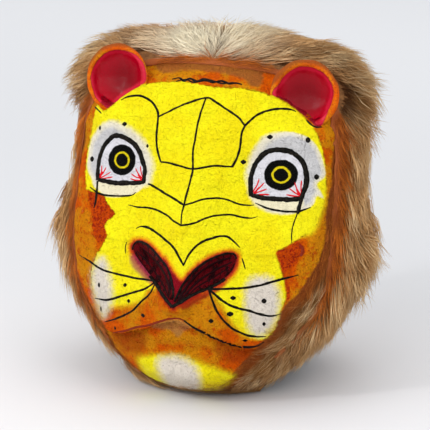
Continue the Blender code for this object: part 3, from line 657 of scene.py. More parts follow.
def newObject(name, points, faces, materials):
    mesh = bpy.data.meshes.new(name)
    mesh.from_pydata([tuple(p) for p in points], [], faces)
    for material in materials:
        mesh.materials.append(material)
    return addObject(name, mesh)


def editMesh(mesh, change):
    work = bmesh.new()
    work.from_mesh(mesh)
    work.verts.ensure_lookup_table()
    change(work)
    work.to_mesh(mesh)
    work.free()


def ringQuads(low, high, count):
    # between two rings whose points start at low and at high
    return [(low + i, low + (i + 1) % count, high + (i + 1) % count, high + i)
            for i in range(count)]


def pointOutward(mesh):
    editMesh(mesh, lambda work: bmesh.ops.recalc_face_normals(work, faces=work.faces))


def evaluated(target):
    # the mesh that the target's modifiers make; the target goes
    bpy.context.view_layer.update()
    depsgraph = bpy.context.evaluated_depsgraph_get()
    mesh = bpy.data.meshes.new_from_object(target.evaluated_get(depsgraph), depsgraph=depsgraph)
    bpy.data.objects.remove(target)
    return mesh


def setField(mesh, name, values):
    kind = "FLOAT" if np.ndim(values) == 1 else "FLOAT_VECTOR"
    field = mesh.attributes.new(name, kind, "POINT")
    key = "value" if kind == "FLOAT" else "vector"
    field.data.foreach_set(key, np.asarray(values, dtype=np.float32).ravel())


# Small helpers for material nodes
def startMaterial(name):
    material = bpy.data.materials.new(name)
    material.use_nodes = True
    tree = material.node_tree
    return material, tree, tree.nodes["Principled BSDF"]


def plug(tree, socket, value):
    if isinstance(value, bpy.types.NodeSocket):
        tree.links.new(value, socket)
    else:
        socket.default_value = value


def fieldOf(tree, name):
    made = tree.nodes.new("ShaderNodeAttribute")
    made.attribute_name = name
    return made.outputs["Fac"]


def noiseOf(tree, scale, detail=3.0, roughness=0.55, stretch=None):
    place = tree.nodes.new("ShaderNodeTexCoord").outputs["Object"]
    if stretch:
        mapping = tree.nodes.new("ShaderNodeMapping")
        mapping.inputs["Scale"].default_value = stretch
        tree.links.new(place, mapping.inputs["Vector"])
        place = mapping.outputs["Vector"]
    made = tree.nodes.new("ShaderNodeTexNoise")
    made.inputs["Scale"].default_value = scale
    made.inputs["Detail"].default_value = detail
    made.inputs["Roughness"].default_value = roughness
    tree.links.new(place, made.inputs["Vector"])
    return made.outputs["Fac"]


def math2(tree, operation, first, second):
    made = tree.nodes.new("ShaderNodeMath")
    made.operation = operation
    plug(tree, made.inputs[0], first)
    plug(tree, made.inputs[1], second)
    return made.outputs[0]


def window(tree, value, low, high, toLow=0.0, toHigh=1.0):
    made = tree.nodes.new("ShaderNodeMapRange")
    made.interpolation_type = "SMOOTHSTEP"
    for key, number in (("From Min", low), ("From Max", high), ("To Min", toLow),
                        ("To Max", toHigh)):
        made.inputs[key].default_value = number
    plug(tree, made.inputs["Value"], value)
    return made.outputs["Result"]


def blend(tree, share, first, second):
    made = tree.nodes.new("ShaderNodeMix")
    made.data_type = "RGBA"
    plug(tree, made.inputs["Factor"], share)
    plug(tree, made.inputs["A"], first)
    plug(tree, made.inputs["B"], second)
    return made.outputs["Result"]


def roughEdge(tree, name, amount, scale, roughness=0.6):
    # a field of signed distance whose zero line wanders by amount
    grain = math2(tree, "SUBTRACT", noiseOf(tree, scale, 3.0, roughness), 0.5)
    if isinstance(amount, float):
        amount = 2.0 * amount
    return math2(tree, "ADD", fieldOf(tree, name), times(tree, grain, amount))


def edgeShare(tree, field, wander, scale, low, high, before=0.0, after=1.0):
    # from one share to the other where a field's wandering edge lies
    edge = roughEdge(tree, field, wander, scale) if wander else fieldOf(tree, field)
    return window(tree, edge, low, high, before, after)


def addEdges(tree, colour, layers):
    for *edge, name in layers:
        colour = blend(tree, edgeShare(tree, *edge), colour, palette[name])
    return colour


def addSpecks(tree, colour, layers):
    for scale, detail, roughness, low, high, most, name in layers:
        grain = noiseOf(tree, scale, detail, roughness)
        colour = blend(tree, window(tree, grain, low, high, 0.0, most), colour, palette[name])
    return colour


def finishShader(tree, shader, colour, roughness, gloss=None):
    tree.links.new(colour, shader.inputs["Base Color"])
    plug(tree, shader.inputs["Roughness"], roughness)
    if gloss is not None:
        shader.inputs["Specular IOR Level"].default_value = gloss


def times(tree, first, second):
    return math2(tree, "MULTIPLY", first, second)


def bumpOf(tree, heights, shader):
    # heights: (height socket, metres)
    last = None
    for height, depth in heights:
        made = tree.nodes.new("ShaderNodeBump")
        made.inputs["Distance"].default_value = depth
        tree.links.new(height, made.inputs["Height"])
        if last:
            tree.links.new(last, made.inputs["Normal"])
        last = made.outputs["Normal"]
    tree.links.new(last, shader.inputs["Normal"])


facePaint = {
    "edgeWander": 2.6,
    "edgeScale": 280.0,
    # noise scale, detail and roughness, where the specks start and are full, their share, colour
    "orangeSpecks": ((26.0, 4.0, 0.6, 0.40, 0.56, 1.0, "orangePale"),),
    "orangeDabs": (
        (130.0, 4.0, 0.7, 0.52, 0.66, 0.85, "deep"), (360.0, 3.0, 0.7, 0.54, 0.70, 0.65, "burnt"),
    ),
    "redSpecks": ((360.0, 3.0, 0.7, 0.45, 0.62, 1.0, "deepRed"),),
    "yellowSpecks": (
        (26.0, 4.0, 0.6, 0.38, 0.66, 1.0, "yellowWarm"),
        (130.0, 4.0, 0.7, 0.50, 0.75, 0.4, "olive"),
    ),
    # field, how far its edge wanders, scale, where the edge starts and ends, share before and
    # after it, colour
    "paleEdges": (("paleEdge", 3.0, 210.0, -2.0, 3.0, 0.0, 0.8, "orangePale"),),
    "orangeEdges": (
        ("foldEdge", 1.0, 280.0, -2.0, 2.0, 0.0, 0.75, "fold"),
        ("burntEdge", 2.0, 210.0, -5.0, 4.0, 0.0, 0.7, "burnt"),
        ("crownEdge", 2.0, 210.0, -2.5, 2.0, 0.0, 0.9, "crown"),
        ("faceEdge", 2.0, 210.0, -1.5, 1.5, 1.0, 0.0, "sprayDark"),
        ("faceEdge", 0.0, 0.0, -16.0, -7.0, 0.85, 0.0, "furShade"),
    ),
    "noseEdges": (
        ("lidEdge", 0.8, 280.0, -1.4, 0.8, 0.0, 1.0, "lid"),
        ("noseEdge", 1.8, 280.0, -8.0, -2.0, 0.0, 0.75, "deep"),
        ("noseEdge", 1.8, 280.0, -4.6, -1.2, 0.0, 0.85, "halo"),
        ("noseEdge", 1.8, 280.0, -2.6, 0.0, 0.0, 0.7, "pad"),
        ("blushEdge", 1.2, 280.0, -3.5, 1.5, 0.0, 0.75, "blush"),
        ("redEdge", 1.5, 280.0, -3.0, 1.5, 0.0, 0.85, "halo"),
    ),
    "roughness": 0.47,
    "roughFlock": 0.9,
    "roughWet": 0.30,
    "gloss": 0.06,
    "flockLeft": 0.10,  # the flock's share under smooth paint
    # noise scale, detail, roughness, metres
    "bumps": ((72.0, 5.0, 0.55, 0.0115), (520.0, 3.0, 0.6, 0.0026)),
    "flock": (330.0, 4.0, 0.75, 0.0080),
}


def makeFacePaint():
    p = facePaint
    material, tree, shader = startMaterial("facePaint")
    scale = p["edgeScale"]
    orange = addSpecks(tree, palette["orange"], p["orangeSpecks"])
    orange = addSpecks(tree, addEdges(tree, orange, p["paleEdges"]), p["orangeDabs"])
    deep = edgeShare(tree, "deepEdge", 3.5, 210.0, -0.8, 0.8)
    orange = blend(tree, deep, orange, addSpecks(tree, palette["deep"], p["redSpecks"]))
    orange = addEdges(tree, orange, p["orangeEdges"])
    yellow = addSpecks(tree, palette["yellow"], p["yellowSpecks"])
    rag = times(tree, fieldOf(tree, "edgeRag"), 2.0 * p["edgeWander"])
    isYellow = edgeShare(tree, "yellowEdge", rag, scale, -0.8, 0.8)
    colour = blend(tree, isYellow, orange, yellow)
    isWhite = edgeShare(tree, "whiteEdge", 0.7, scale, -1.0, 1.0, 0.0, 0.95)
    colour = blend(tree, isWhite, colour, palette["white"])
    surround = roughEdge(tree, "surroundEdge", 0.9, 190.0)
    shade = blend(tree, window(tree, surround, 1.5, 6.0), palette["cream"], palette["grey"])
    colour = blend(tree, window(tree, surround, -0.9, 1.6, 0.0, 0.96), colour, shade)
    colour = addEdges(tree, colour, p["noseEdges"])
    pad = edgeShare(tree, "padEdge", 0.8, scale, -2.2, 0.8)
    colour = blend(tree, pad, colour, palette["pad"])
    inside = edgeShare(tree, "nostrilEdge", 0.4, scale, -0.6, 0.6)
    streaks = window(tree, noiseOf(tree, 210.0, 3.0, 0.6, (1.0, 1.0, 0.35)), 0.47, 0.60)
    hollow = blend(tree, streaks, palette["nostril"], palette["nostrilDark"])
    colour = blend(tree, inside, colour, hollow)
    bowl = edgeShare(tree, "earEdge", 0.8, scale, -0.7, 0.7)
    bowl = times(tree, bowl, math2(tree, "SUBTRACT", 1.0, isYellow))
    # painted highlight: lighter red along the edge of the ear's bowl
    rim = edgeShare(tree, "earEdge", 1.5, 300.0, 1.5, 4.5, 0.85, 0.0)
    colour = blend(tree, bowl, colour, blend(tree, rim, palette["ear"], palette["earRimHighlight"]))
    eye = window(tree, fieldOf(tree, "eyeEdge"), -0.3, 0.5)
    colour = blend(tree, eye, colour, palette["sclera"])
    iris = roughEdge(tree, "irisRadius", 0.08, 150.0, 0.55)
    black = times(tree, window(tree, iris, 0.97, 1.02, 1.0, 0.0), eye)
    colour = blend(tree, black, colour, palette["ink"])
    ring = times(tree, window(tree, iris, 0.40, 0.44), window(tree, iris, 0.53, 0.58, 1.0, 0.0))
    colour = blend(tree, ring, colour, palette["ring"])
    smooth = math2(tree, "MAXIMUM", isYellow,
                   math2(tree, "MAXIMUM", window(tree, surround, -0.9, 1.6), isWhite))
    wet = math2(tree, "MAXIMUM", math2(tree, "MAXIMUM", inside, bowl),
                math2(tree, "MAXIMUM", pad, black))
    rough = window(tree, smooth, 0.0, 1.0, p["roughFlock"], p["roughness"])
    rough = blend(tree, wet, rough, (p["roughWet"],) * 3 + (1.0,))
    finishShader(tree, shader, colour, rough, p["gloss"])
    *grain, depth = p["flock"]
    flock = times(tree, noiseOf(tree, *grain), window(tree, smooth, 0.0, 1.0, 1.0, p["flockLeft"]))
    bumps = [(noiseOf(tree, *row[:3]), row[3]) for row in p["bumps"]]
    bumpOf(tree, bumps + [(flock, depth)], shader)
    return material


def makePaper():
    material, tree, shader = startMaterial("rawPaper")
    patch = noiseOf(tree, 38.0, 5.0, 0.65)
    colour = blend(tree, window(tree, patch, 0.38, 0.66), palette["paper"], palette["paperDark"])
    finishShader(tree, shader, colour, 0.88)
    bumpOf(tree, [(patch, 0.003), (noiseOf(tree, 420.0, 4.0, 0.7), 0.0008)], shader)
    return material


def paintFields(points):
    # signed distances in pixels, divided by how soft each edge is
    places = toPixels(points)
    s = softness
    hidden = (points[:, 1] > shift - s["hiddenBack"]) & (points[:, 2] < s["hiddenTop"])
    areas = {name: signedDistance(places, outline) for name, outline in paintAreas.items()}
    across, down = places.T
    soft = np.interp(down, s["muzzleRows"], (s["crisp"], s["airbrush"]))
    sideSoft = np.interp(across, s["cheekColumns"], (0.0, 1.0))
    soft = soft * (1.0 - sideSoft) + s["cheek"] * sideSoft
    soft += s["strip"] * np.interp(across, s["stripColumns"], (0.0, 1.0)) * np.interp(
        down, s["stripRows"], (0.0, 1.0, 1.0, 0.0))
    fields = {
        "yellowEdge": np.maximum(areas["yellow"] / soft, areas["chinYellow"] / s["chin"]),
        "whiteEdge": np.maximum.reduce((
            areas["whiteLeft"] / s["white"], areas["whiteRight"] / s["white"],
            areas["chinWhite"] / s["chin"],
        )),
        "surroundEdge": np.maximum(
            areas["surroundLeft"] / np.interp(across, *s["leftColumns"])
            * np.interp(down, *s["leftRows"]),
            areas["surroundRight"] / np.interp(across, *s["rightColumns"]),
        ),
    }
    for name, parts in (
        ("deep", ("deepLeft", "deepRight")), ("pale", ("paleLeft", "paleRight")),
        ("face", ("face",)), ("fold", ("fold",)), ("crown", ("crownBrown",)),
        ("burnt", ("burntChin", "burntRight")), ("lid", ("lidLeft", "lidRight")),
        ("nose", ("nostrilLeft", "nostrilRight", "pad")),
        ("nostril", ("nostrilLeft", "nostrilRight")), ("pad", ("pad",)), ("blush", ("blush",)),
        ("red", ("redUnder",)), ("ear", ("earLeft", "earRight")), ("eye", ("eyeLeft", "eyeRight")),
    ):
        fields[name + "Edge"] = np.maximum.reduce([areas[part] for part in parts])
    for name in fields:
        fields[name] = np.where(hidden, -s["limit"], np.clip(fields[name], -s["limit"], s["limit"]))
    radii = [np.hypot((across - cx) / rx, (down - cy) / ry) for cx, cy, rx, ry in irises]
    isChin = areas["chinYellow"] > areas["yellow"]
    fields["edgeRag"] = 1.0 / np.where(isChin, s["ragChin"], 2.0 * soft - 1.0)
    fields["irisRadius"] = np.where(hidden, 9.0, np.minimum(*radii))
    return fields


ear = {
    "radius": 0.0342,
    "bowlRadius": 0.0275,
    "bowlDepth": 0.015,
    "wall": 0.004,
    "side": 0.726 * 0.135,
    "forward": 0.165 * 0.115,
    "height": 0.902 * 0.338,
    "turnOut": 9.0,
    "tiltUp": 14.0,
    "steps": 112,
    "lumpDepth": 0.0009,
    "lumpSize": 0.012,
    "buried": 0.0016,  # how deep in the shell's wall the cup is cut
    "dishGap": 0.0024,
    "dishFade": 0.003,
    "sunk": 0.0012,  # the rim dips this far under the yellow brow
    "specks": (
        (60.0, 4.0, 0.6, 0.40, 0.65, 1.0, "orangePale"), (120.0, 4.0, 0.7, 0.50, 0.62, 0.8, "deep"),
        (520.0, 3.0, 0.7, 0.50, 0.68, 0.7, "burnt"),
    ),
    "footShares": (0.25, 0.45),  # where the flat foot has its corners
    "shoulder": (0.80, 0.62),  # share of the radius and of the foot's depth
    "rollStart": -0.52,  # radians
    "outsideStep": 0.0016,
    "rollStep": 15.0,  # degrees
    "bowlRows": 17,
    "bowlStart": 0.93,  # of a quarter turn
    "marks": ((-5.0, 1.2), (1.6, 14.0)),  # of the roll and of the bowl
    "rimMarks": (-4.5, 2.0),
    "rimShade": (14.0, 2.0, 4.0, 0.85),  # pixels up, start and width outside, most
    "roughness": (0.9, 0.09),  # rim, bowl
    "gloss": 0.14,
}


def earTurn(side):
    tilt, turn = math.radians(ear["tiltUp"]), math.radians(ear["turnOut"])
    return Euler((math.pi / 2 - tilt, 0.0, side * turn))


def earMiddle(side):
    return np.array((side * ear["side"], shift - ear["forward"], ear["height"]))


def fromEar(places, side):
    # along the ear's axis and away from it, and the axis
    middle = earMiddle(side)
    axis = np.array(earTurn(side).to_matrix() @ Vector((0.0, 0.0, 1.0)))
    along = (places - middle) @ axis
    return along, np.linalg.norm(places - middle - along[:, None] * axis, axis=1), axis


def dishEars(grid):
    # the skin gives way behind the bowls, up to the edge of the yellow brow
    flat = grid.reshape(-1, 3)
    places = np.column_stack((flat[:, 0], shift - flat[:, 1], flat[:, 2]))
    for side, outline in ((-1.0, "earLeft"), (1.0, "earRight")):
        along, radius, axis = fromEar(places, side)
        share = np.clip(1.0 - (radius / ear["bowlRadius"]) ** 2, 0.0, 1.0)
        target = -ear["bowlDepth"] * np.sqrt(share) - ear["dishGap"]
        fade = np.clip((ear["bowlRadius"] - radius) / ear["dishFade"], 0.0, 1.0)
        fade *= np.clip(signedDistance(toPixels(places), paintAreas[outline]) / 2.0, 0.0, 1.0)
        push = np.minimum(target - along, 0.0) * fade * (np.abs(along) < 2.0 * ear["bowlRadius"])
        places += push[:, None] * axis
    return np.column_stack((places[:, 0], shift - places[:, 1], places[:, 2])).reshape(grid.shape)


def makeShell(paint, paper):
    grid = dishEars(raiseArches(shellGrid()))  # rows of side, forward, height
    points = grid.copy()
    points[:, :, 1] = shift - grid[:, :, 1]
    rows, columns = points.shape[:2]
    normals = gridNormals(points)
    flat = points.reshape(-1, 3)
    lumps = shell["lumpDepth"] * wobble(flat, shell["lumpSize"], 3.1)
    grain = shell["grainDepth"] * wobble(flat, shell["grainSize"], 8.3)
    settled = np.clip(flat[:, 2] / shell["settle"], 0.0, 1.0)  # the rim stays flat
    outer = flat + normals.reshape(-1, 3) * ((lumps + grain) * settled)[:, None]
    pole = np.array((0.0, shift - shell["pole"] * shell["faceReach"], shell["height"]))
    every = shell["liningEvery"]
    picked = list(range(0, rows, every))
    dent = np.zeros(points.shape[:2])
    for down in (-every, 0, every):
        for side in range(-every, every + 1):
            near = points[np.clip(np.arange(rows) + down, 0, rows - 1)]
            near = np.roll(near, side, axis=1)
            dent = np.minimum(dent, np.sum((near - points) * normals, axis=2))
    dent = np.maximum(dent, -shell["dentLimit"])
    inner = (points + normals * (dent - shell["wall"])[:, :, None])[picked]
    inner[0, :, 2] = points[0, :, 2]
    rim = inner[0].copy()
    coarse = inner[1:, ::every].copy()
    verts = [outer, pole[None], rim, coarse.reshape(-1, 3), pole[None] - [[0, 0, shell["wall"]]]]
    allPoints = np.vstack(verts)
    starts = np.cumsum([0] + [len(v) for v in verts])
    faces = []
    for row in range(rows - 1):
        faces += ringQuads(row * columns, (row + 1) * columns, columns)
    last = (rows - 1) * columns
    faces += [(last + c, last + (c + 1) % columns, starts[1]) for c in range(columns)]
    paperFrom = len(faces)
    for c in range(columns):
        d = (c + 1) % columns
        faces.append((c, starts[2] + c, starts[2] + d, d))
    few = columns // every
    for j in range(few):
        k = (j + 1) % few
        for c in range(j * every, (j + 1) * every):
            faces.append((starts[2] + c, starts[3] + j, starts[2] + (c + 1) % columns))
        faces.append((starts[2] + (k * every) % columns, starts[3] + j, starts[3] + k))
    for row in range(len(picked) - 2):
        for j in range(few):
            k = (j + 1) % few
            low, high = starts[3] + row * few, starts[3] + (row + 1) * few
            faces.append((low + j, high + j, high + k, low + k))
    top = starts[3] + (len(picked) - 2) * few
    faces += [(top + (j + 1) % few, top + j, starts[4]) for j in range(few)]
    made = newObject("faceShell", allPoints, faces, (paint, paper))
    pointOutward(made.data)
    slots = np.zeros(len(faces), dtype=np.int32)
    slots[paperFrom:] = 1
    made.data.polygons.foreach_set("material_index", slots)
    for name, values in paintFields(allPoints).items():
        setField(made.data, name, values)
    made.data.shade_smooth()
    corners = [tuple(p) for p in allPoints[:starts[2]]]
    return made, BVHTree.FromPolygons(corners, faces[:paperFrom])


faceShell, skin = makeShell(makeFacePaint(), makePaper())
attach(faceShell, "root")
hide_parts("face_shell")
print("stage: face shell,", len(faceShell.data.polygons), "faces")


# Small helpers for geometry node trees
def startTree(name, sockets):
    # sockets: (name, kind, value)
    tree = bpy.data.node_groups.new(name, "GeometryNodeTree")
    tree.interface.new_socket("Geometry", in_out="INPUT", socket_type="NodeSocketGeometry")
    tree.interface.new_socket("Geometry", in_out="OUTPUT", socket_type="NodeSocketGeometry")
    for label, kind, value in sockets:
        made = tree.interface.new_socket(label, in_out="INPUT", socket_type="NodeSocket" + kind)
        if value is not None:
            made.default_value = value
    start, end = tree.nodes.new("NodeGroupInput"), tree.nodes.new("NodeGroupOutput")
    return tree, start, end


def add(tree, kind, inputs=None, **settings):
    made = tree.nodes.new(kind)
    for key, value in settings.items():
        setattr(made, key, value)
    for key, value in (inputs or {}).items():
        plug(tree, made.inputs[key], value)
    return made


def namedField(tree, name, kind="FLOAT"):
    made = add(tree, "GeometryNodeInputNamedAttribute", {"Name": name}, data_type=kind)
    return made.outputs["Attribute"]


def vectorMath(tree, operation, first, second):
    inputs = {0: first, "Scale" if operation == "SCALE" else 1: second}
    return add(tree, "ShaderNodeVectorMath", inputs, operation=operation).outputs[0]


def randomOf(tree, inputs, kind="FLOAT"):
    made = add(tree, "FunctionNodeRandomValue", inputs, data_type=kind)
    return [o for o in made.outputs if o.enabled][0]


def useTree(target, tree, values):
    modifier = target.modifiers.new(tree.name, "NODES")
    modifier.node_group = tree
    for item in tree.interface.items_tree:
        if item.in_out == "INPUT" and item.name in values:
            modifier[item.identifier] = values[item.name]
    name = target.name
    mesh = evaluated(target)
    mesh.name = name
    return addObject(name, mesh)


brush = {
    "width": 1.16,  # paint that spreads beside the drawn width
    "dotWidth": 1.4,
    "veinShare": 0.72,
    "step": 0.0012,  # along a line
    "raise": 0.22,  # of the half width, at the middle of a line
    "sink": -0.45,
    "shoulder": 0.78,
    "wander": 0.35,  # pixels
    "wanderScale": 0.13,  # turns of the wander in each pixel
    "seedStep": 3.7,
    "unevenness": 0.30,
    "pathStep": 1.4,  # pixels
    "taper": 6.0,  # one over the share of a line that narrows at each end
    "dotRows": 9,
    "dotLeast": 0.12,
}


def makeBrushTree():
    tree, start, end = startTree("brushLine", (
        ("Step", "Float", brush["step"]), ("Profile", "Object", None), ("Paint", "Material", None),
    ))
    curve = add(tree, "GeometryNodeMeshToCurve", {"Mesh": start.outputs["Geometry"]})
    even = add(tree, "GeometryNodeResampleCurve",
               {"Curve": curve.outputs[0], "Length": start.outputs["Step"]}, mode="LENGTH")
    turned = add(tree, "GeometryNodeSetCurveNormal", {
        "Curve": even.outputs[0], "Normal": namedField(tree, "skinNormal", "FLOAT_VECTOR"),
    }, mode="FREE")
    section = add(tree, "GeometryNodeObjectInfo", {"Object": start.outputs["Profile"]})
    profile = add(tree, "GeometryNodeMeshToCurve", {"Mesh": section.outputs["Geometry"]})
    ribbon = add(tree, "GeometryNodeCurveToMesh", {
        "Curve": turned.outputs[0], "Profile Curve": profile.outputs[0],
        "Scale": namedField(tree, "halfWidth"), "Fill Caps": True,
    })
    solid = add(tree, "GeometryNodeRealizeInstances", {"Geometry": ribbon.outputs[0]})
    painted = add(tree, "GeometryNodeSetMaterial",
                  {"Geometry": solid.outputs[0], "Material": start.outputs["Paint"]})
    tree.links.new(painted.outputs[0], end.inputs[0])
    return tree


def makeBrushProfile():
    across = (-1.0, -brush["shoulder"], 0.0, brush["shoulder"], 1.0, 0.0)
    up = (brush["sink"], 0.6 * brush["raise"], brush["raise"], 0.6 * brush["raise"],
          brush["sink"], brush["sink"])
    mesh = bpy.data.meshes.new("brushProfile")
    edges = [(i, (i + 1) % len(across)) for i in range(len(across))]
    mesh.from_pydata([(u, a, 0.0) for a, u in zip(across, up)], edges, [])
    return addObject("brushProfile", mesh)


def onSkin(across, down):
    # where the picture's place lies on the shell, and the normal towards the camera
    hit, normal, _, _ = skin.ray_cast(*rayAt(across, down))
    if hit is not None and normal.dot(lens["ahead"]) > 0.0:
        normal = -normal
    return hit, normal


def strokePoints(half, startShare, endShare, path, seed):
    pixel = view["span"] / view["pixels"]
    places = smoothPath(path, brush["pathStep"])
    count, taper, turns = len(places), brush["taper"], brush["wanderScale"]
    points, normals, widths = [], [], []
    for i, (across, down) in enumerate(places):
        t = i / max(count - 1, 1)
        where = Vector((across * turns, down * turns, seed * brush["seedStep"]))
        across += brush["wander"] * noise.noise(where)
        down += brush["wander"] * noise.noise(where + Vector((9.0, 4.0, 2.0)))
        hit, normal = onSkin(across, down)
        if hit is None:
            continue
        ends = min(t * taper, 1.0) * (1.0 - startShare) + startShare
        ends = min(ends, min((1.0 - t) * taper, 1.0) * (1.0 - endShare) + endShare)
        dash = 1.0 + brush["unevenness"] * noise.noise(where * 3.0)
        points.append(hit)
        normals.append(normal)
        widths.append(half * brush["width"] * pixel * ends * dash)
    return points, normals, widths


def dotPoints(across, down, halfAcross, halfDown):
    # a short line whose width follows an ellipse
    pixel = view["span"] / view["pixels"]
    points, normals, widths = [], [], []
    for i in range(brush["dotRows"]):
        t = -1.0 + 2.0 * i / (brush["dotRows"] - 1.0)
        hit, normal = onSkin(across, down + t * halfDown)
        if hit is None:
            continue
        points.append(hit)
        normals.append(normal)
        ellipse = max(math.sqrt(1.0 - t * t), brush["dotLeast"])
        widths.append(halfAcross * brush["dotWidth"] * pixel * ellipse)
    return points, normals, widths


def makeStrokes(name, strokes, material):
    points, normals, widths, edges = [], [], [], []
    for found in strokes:
        first = len(points)
        points += found[0]
        normals += found[1]
        widths += found[2]
        edges += [(i, i + 1) for i in range(first, len(points) - 1)]
    mesh = bpy.data.meshes.new(name)
    mesh.from_pydata([tuple(p) for p in points], edges, [])
    setField(mesh, "skinNormal", np.array([tuple(n) for n in normals]))
    setField(mesh, "halfWidth", np.array(widths))
    made = addObject(name, mesh)
    made = useTree(made, brushTree, {"Profile": brushProfile, "Paint": material})
    pointOutward(made.data)
    made.data.shade_smooth()
    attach(made, "root")
    return made


def makeInk(name, colour, dry, roughness):
    material, tree, shader = startMaterial(name)
    worn = window(tree, noiseOf(tree, 480.0, 3.0, 0.7), 0.40, 0.72, 0.0, dry)
    colour = blend(tree, worn, colour, palette["paperDark"])
    finishShader(tree, shader, colour, roughness, facePaint["gloss"])
    bumpOf(tree, [(noiseOf(tree, 500.0, 3.0, 0.6), 0.0004)], shader)
    return material


brushTree = makeBrushTree()
brushProfile = makeBrushProfile()
for name, lines, seed, share, ink, colour, worn, roughness in (
    ("inkLines", brushLines, 0, 1.0, "blackInk", "ink", 0.10, 0.42),
    ("mouthEdge", redLines, 70, 1.0, "mouthInk", "mouthRed", 0.2, 0.6),
    ("eyeVeins", veinLines, 90, brush["veinShare"], "veinRed", "red", 0.0, 0.45),
    ("nostrilStreaks", nostrilLines, 120, 1.0, "nostrilInk", "nostrilDark", 0.0, 0.4),
):
    strokes = [strokePoints(share * half, *line, seed + i) for i, (half, *line) in enumerate(lines)]
    if lines is brushLines:
        strokes += [dotPoints(*dot) for dot in brushDots]
    made = makeStrokes(name, strokes, makeInk(ink, palette[colour], worn, roughness))
    print("stage:", name, len(made.data.polygons), "faces")
bpy.data.objects.remove(brushProfile)


def earProfile():
    # radius, place along the axis, and a mark that tells the outside, the roll and the bowl
    rim = (ear["radius"] - ear["bowlRadius"]) / 2.0
    middle = (ear["radius"] + ear["bowlRadius"]) / 2.0
    depth = ear["bowlDepth"]
    foot = -depth - ear["wall"]
    start, (wide, deep) = ear["rollStart"], ear["shoulder"]
    corners = [(0.0, foot)] + [(share * ear["radius"], foot) for share in ear["footShares"]]
    corners += [(wide * ear["radius"], deep * foot),
                (middle + rim * math.cos(start), rim * math.sin(start))]
    outside = smoothPath(corners, ear["outsideStep"])
    turns = np.radians(np.arange(-ear["rollStep"], 181.0, ear["rollStep"]))
    roll = np.column_stack((middle + rim * np.cos(turns), rim * np.sin(turns)))
    shares = np.linspace(ear["bowlStart"], 0.0, ear["bowlRows"]) * math.pi / 2
    bowl = np.column_stack((ear["bowlRadius"] * np.sin(shares), -depth * np.cos(shares)))
    rows = np.vstack((outside, roll, bowl))
    inside = np.concatenate((
        np.full(len(outside), -9.0), np.linspace(*ear["marks"][0], len(roll)),
        np.linspace(*ear["marks"][1], len(bowl)),
    ))
    return rows, inside


def makeEar(name, side, material, node):
    rows, inside = earProfile()
    steps = ear["steps"]
    points, marks = [], []
    for (radius, along), mark in zip(rows[1:-1], inside[1:-1]):
        for step in range(steps):
            turn = 2.0 * math.pi * step / steps
            points.append((radius * math.cos(turn), radius * math.sin(turn), along))
            marks.append(mark)
    first, last = len(points), len(points) + 1
    points += [(0.0, 0.0, rows[0][1]), (0.0, 0.0, rows[-1][1])]
    marks += [inside[0], inside[-1]]
    faces = []
    for row in range(len(rows) - 3):
        faces += ringQuads(row * steps, (row + 1) * steps, steps)
    faces += [(first, (s + 1) % steps, s) for s in range(steps)]
    top = (len(rows) - 3) * steps
    faces += [(last, top + s, top + (s + 1) % steps) for s in range(steps)]
    place = Vector(earMiddle(side))
    frameOf = Matrix.Translation(place) @ earTurn(side).to_matrix().to_4x4()
    placed = np.array([tuple(frameOf @ Vector(p)) for p in points])
    out = placed - np.array(place)
    out /= np.maximum(np.linalg.norm(out, axis=1, keepdims=True), 1e-9)
    push = ear["lumpDepth"] * wobble(placed, ear["lumpSize"], 5.5 + side)
    placed += out * push[:, None]
    marks = np.array(marks)
    onRim = (marks > ear["rimMarks"][0]) & (marks < ear["rimMarks"][1])
    sunk = np.clip((signedDistance(toPixels(placed), paintAreas["yellow"]) + 1.0) / 2.0, 0.0, 1.0)
    for i in np.flatnonzero(onRim & (sunk > 0.0)):
        hit, normal, _, _ = skin.find_nearest(Vector(placed[i]))
        placed[i] += (np.array(hit - normal * ear["sunk"]) - placed[i]) * sunk[i]
    buried = []
    for p in placed:
        hit, normal, _, _ = skin.find_nearest(Vector(p))
        buried.append((hit - Vector(p)).dot(normal) > ear["buried"])
    kept = [f for f in faces if not all(buried[i] for i in f)]
    made = newObject(name, placed, kept, (material,))
    pixels = toPixels(placed)
    outline = signedDistance(pixels, paintAreas["earLeft" if side < 0 else "earRight"])
    setField(made.data, "bowlEdge", np.where(onRim, outline, marks))
    setField(made.data, "rimEdge", outline)
    rise, start, width, most = ear["rimShade"]
    upper = np.clip((pixels[:, 1].mean() - pixels[:, 1]) / rise, 0.0, 1.0)
    setField(made.data, "rimShade", upper * np.clip((-outline - start) / width, 0.0, most))
    yellow = signedDistance(pixels, paintAreas["yellow"])
    setField(made.data, "yellowEdge", np.where(onRim, yellow, -9.0))
    editMesh(made.data, lambda work: bmesh.ops.delete(
        work, geom=[v for v in work.verts if not v.link_faces], context="VERTS"))
    made.data.shade_smooth()
    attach(made, "root")
    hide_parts(node)


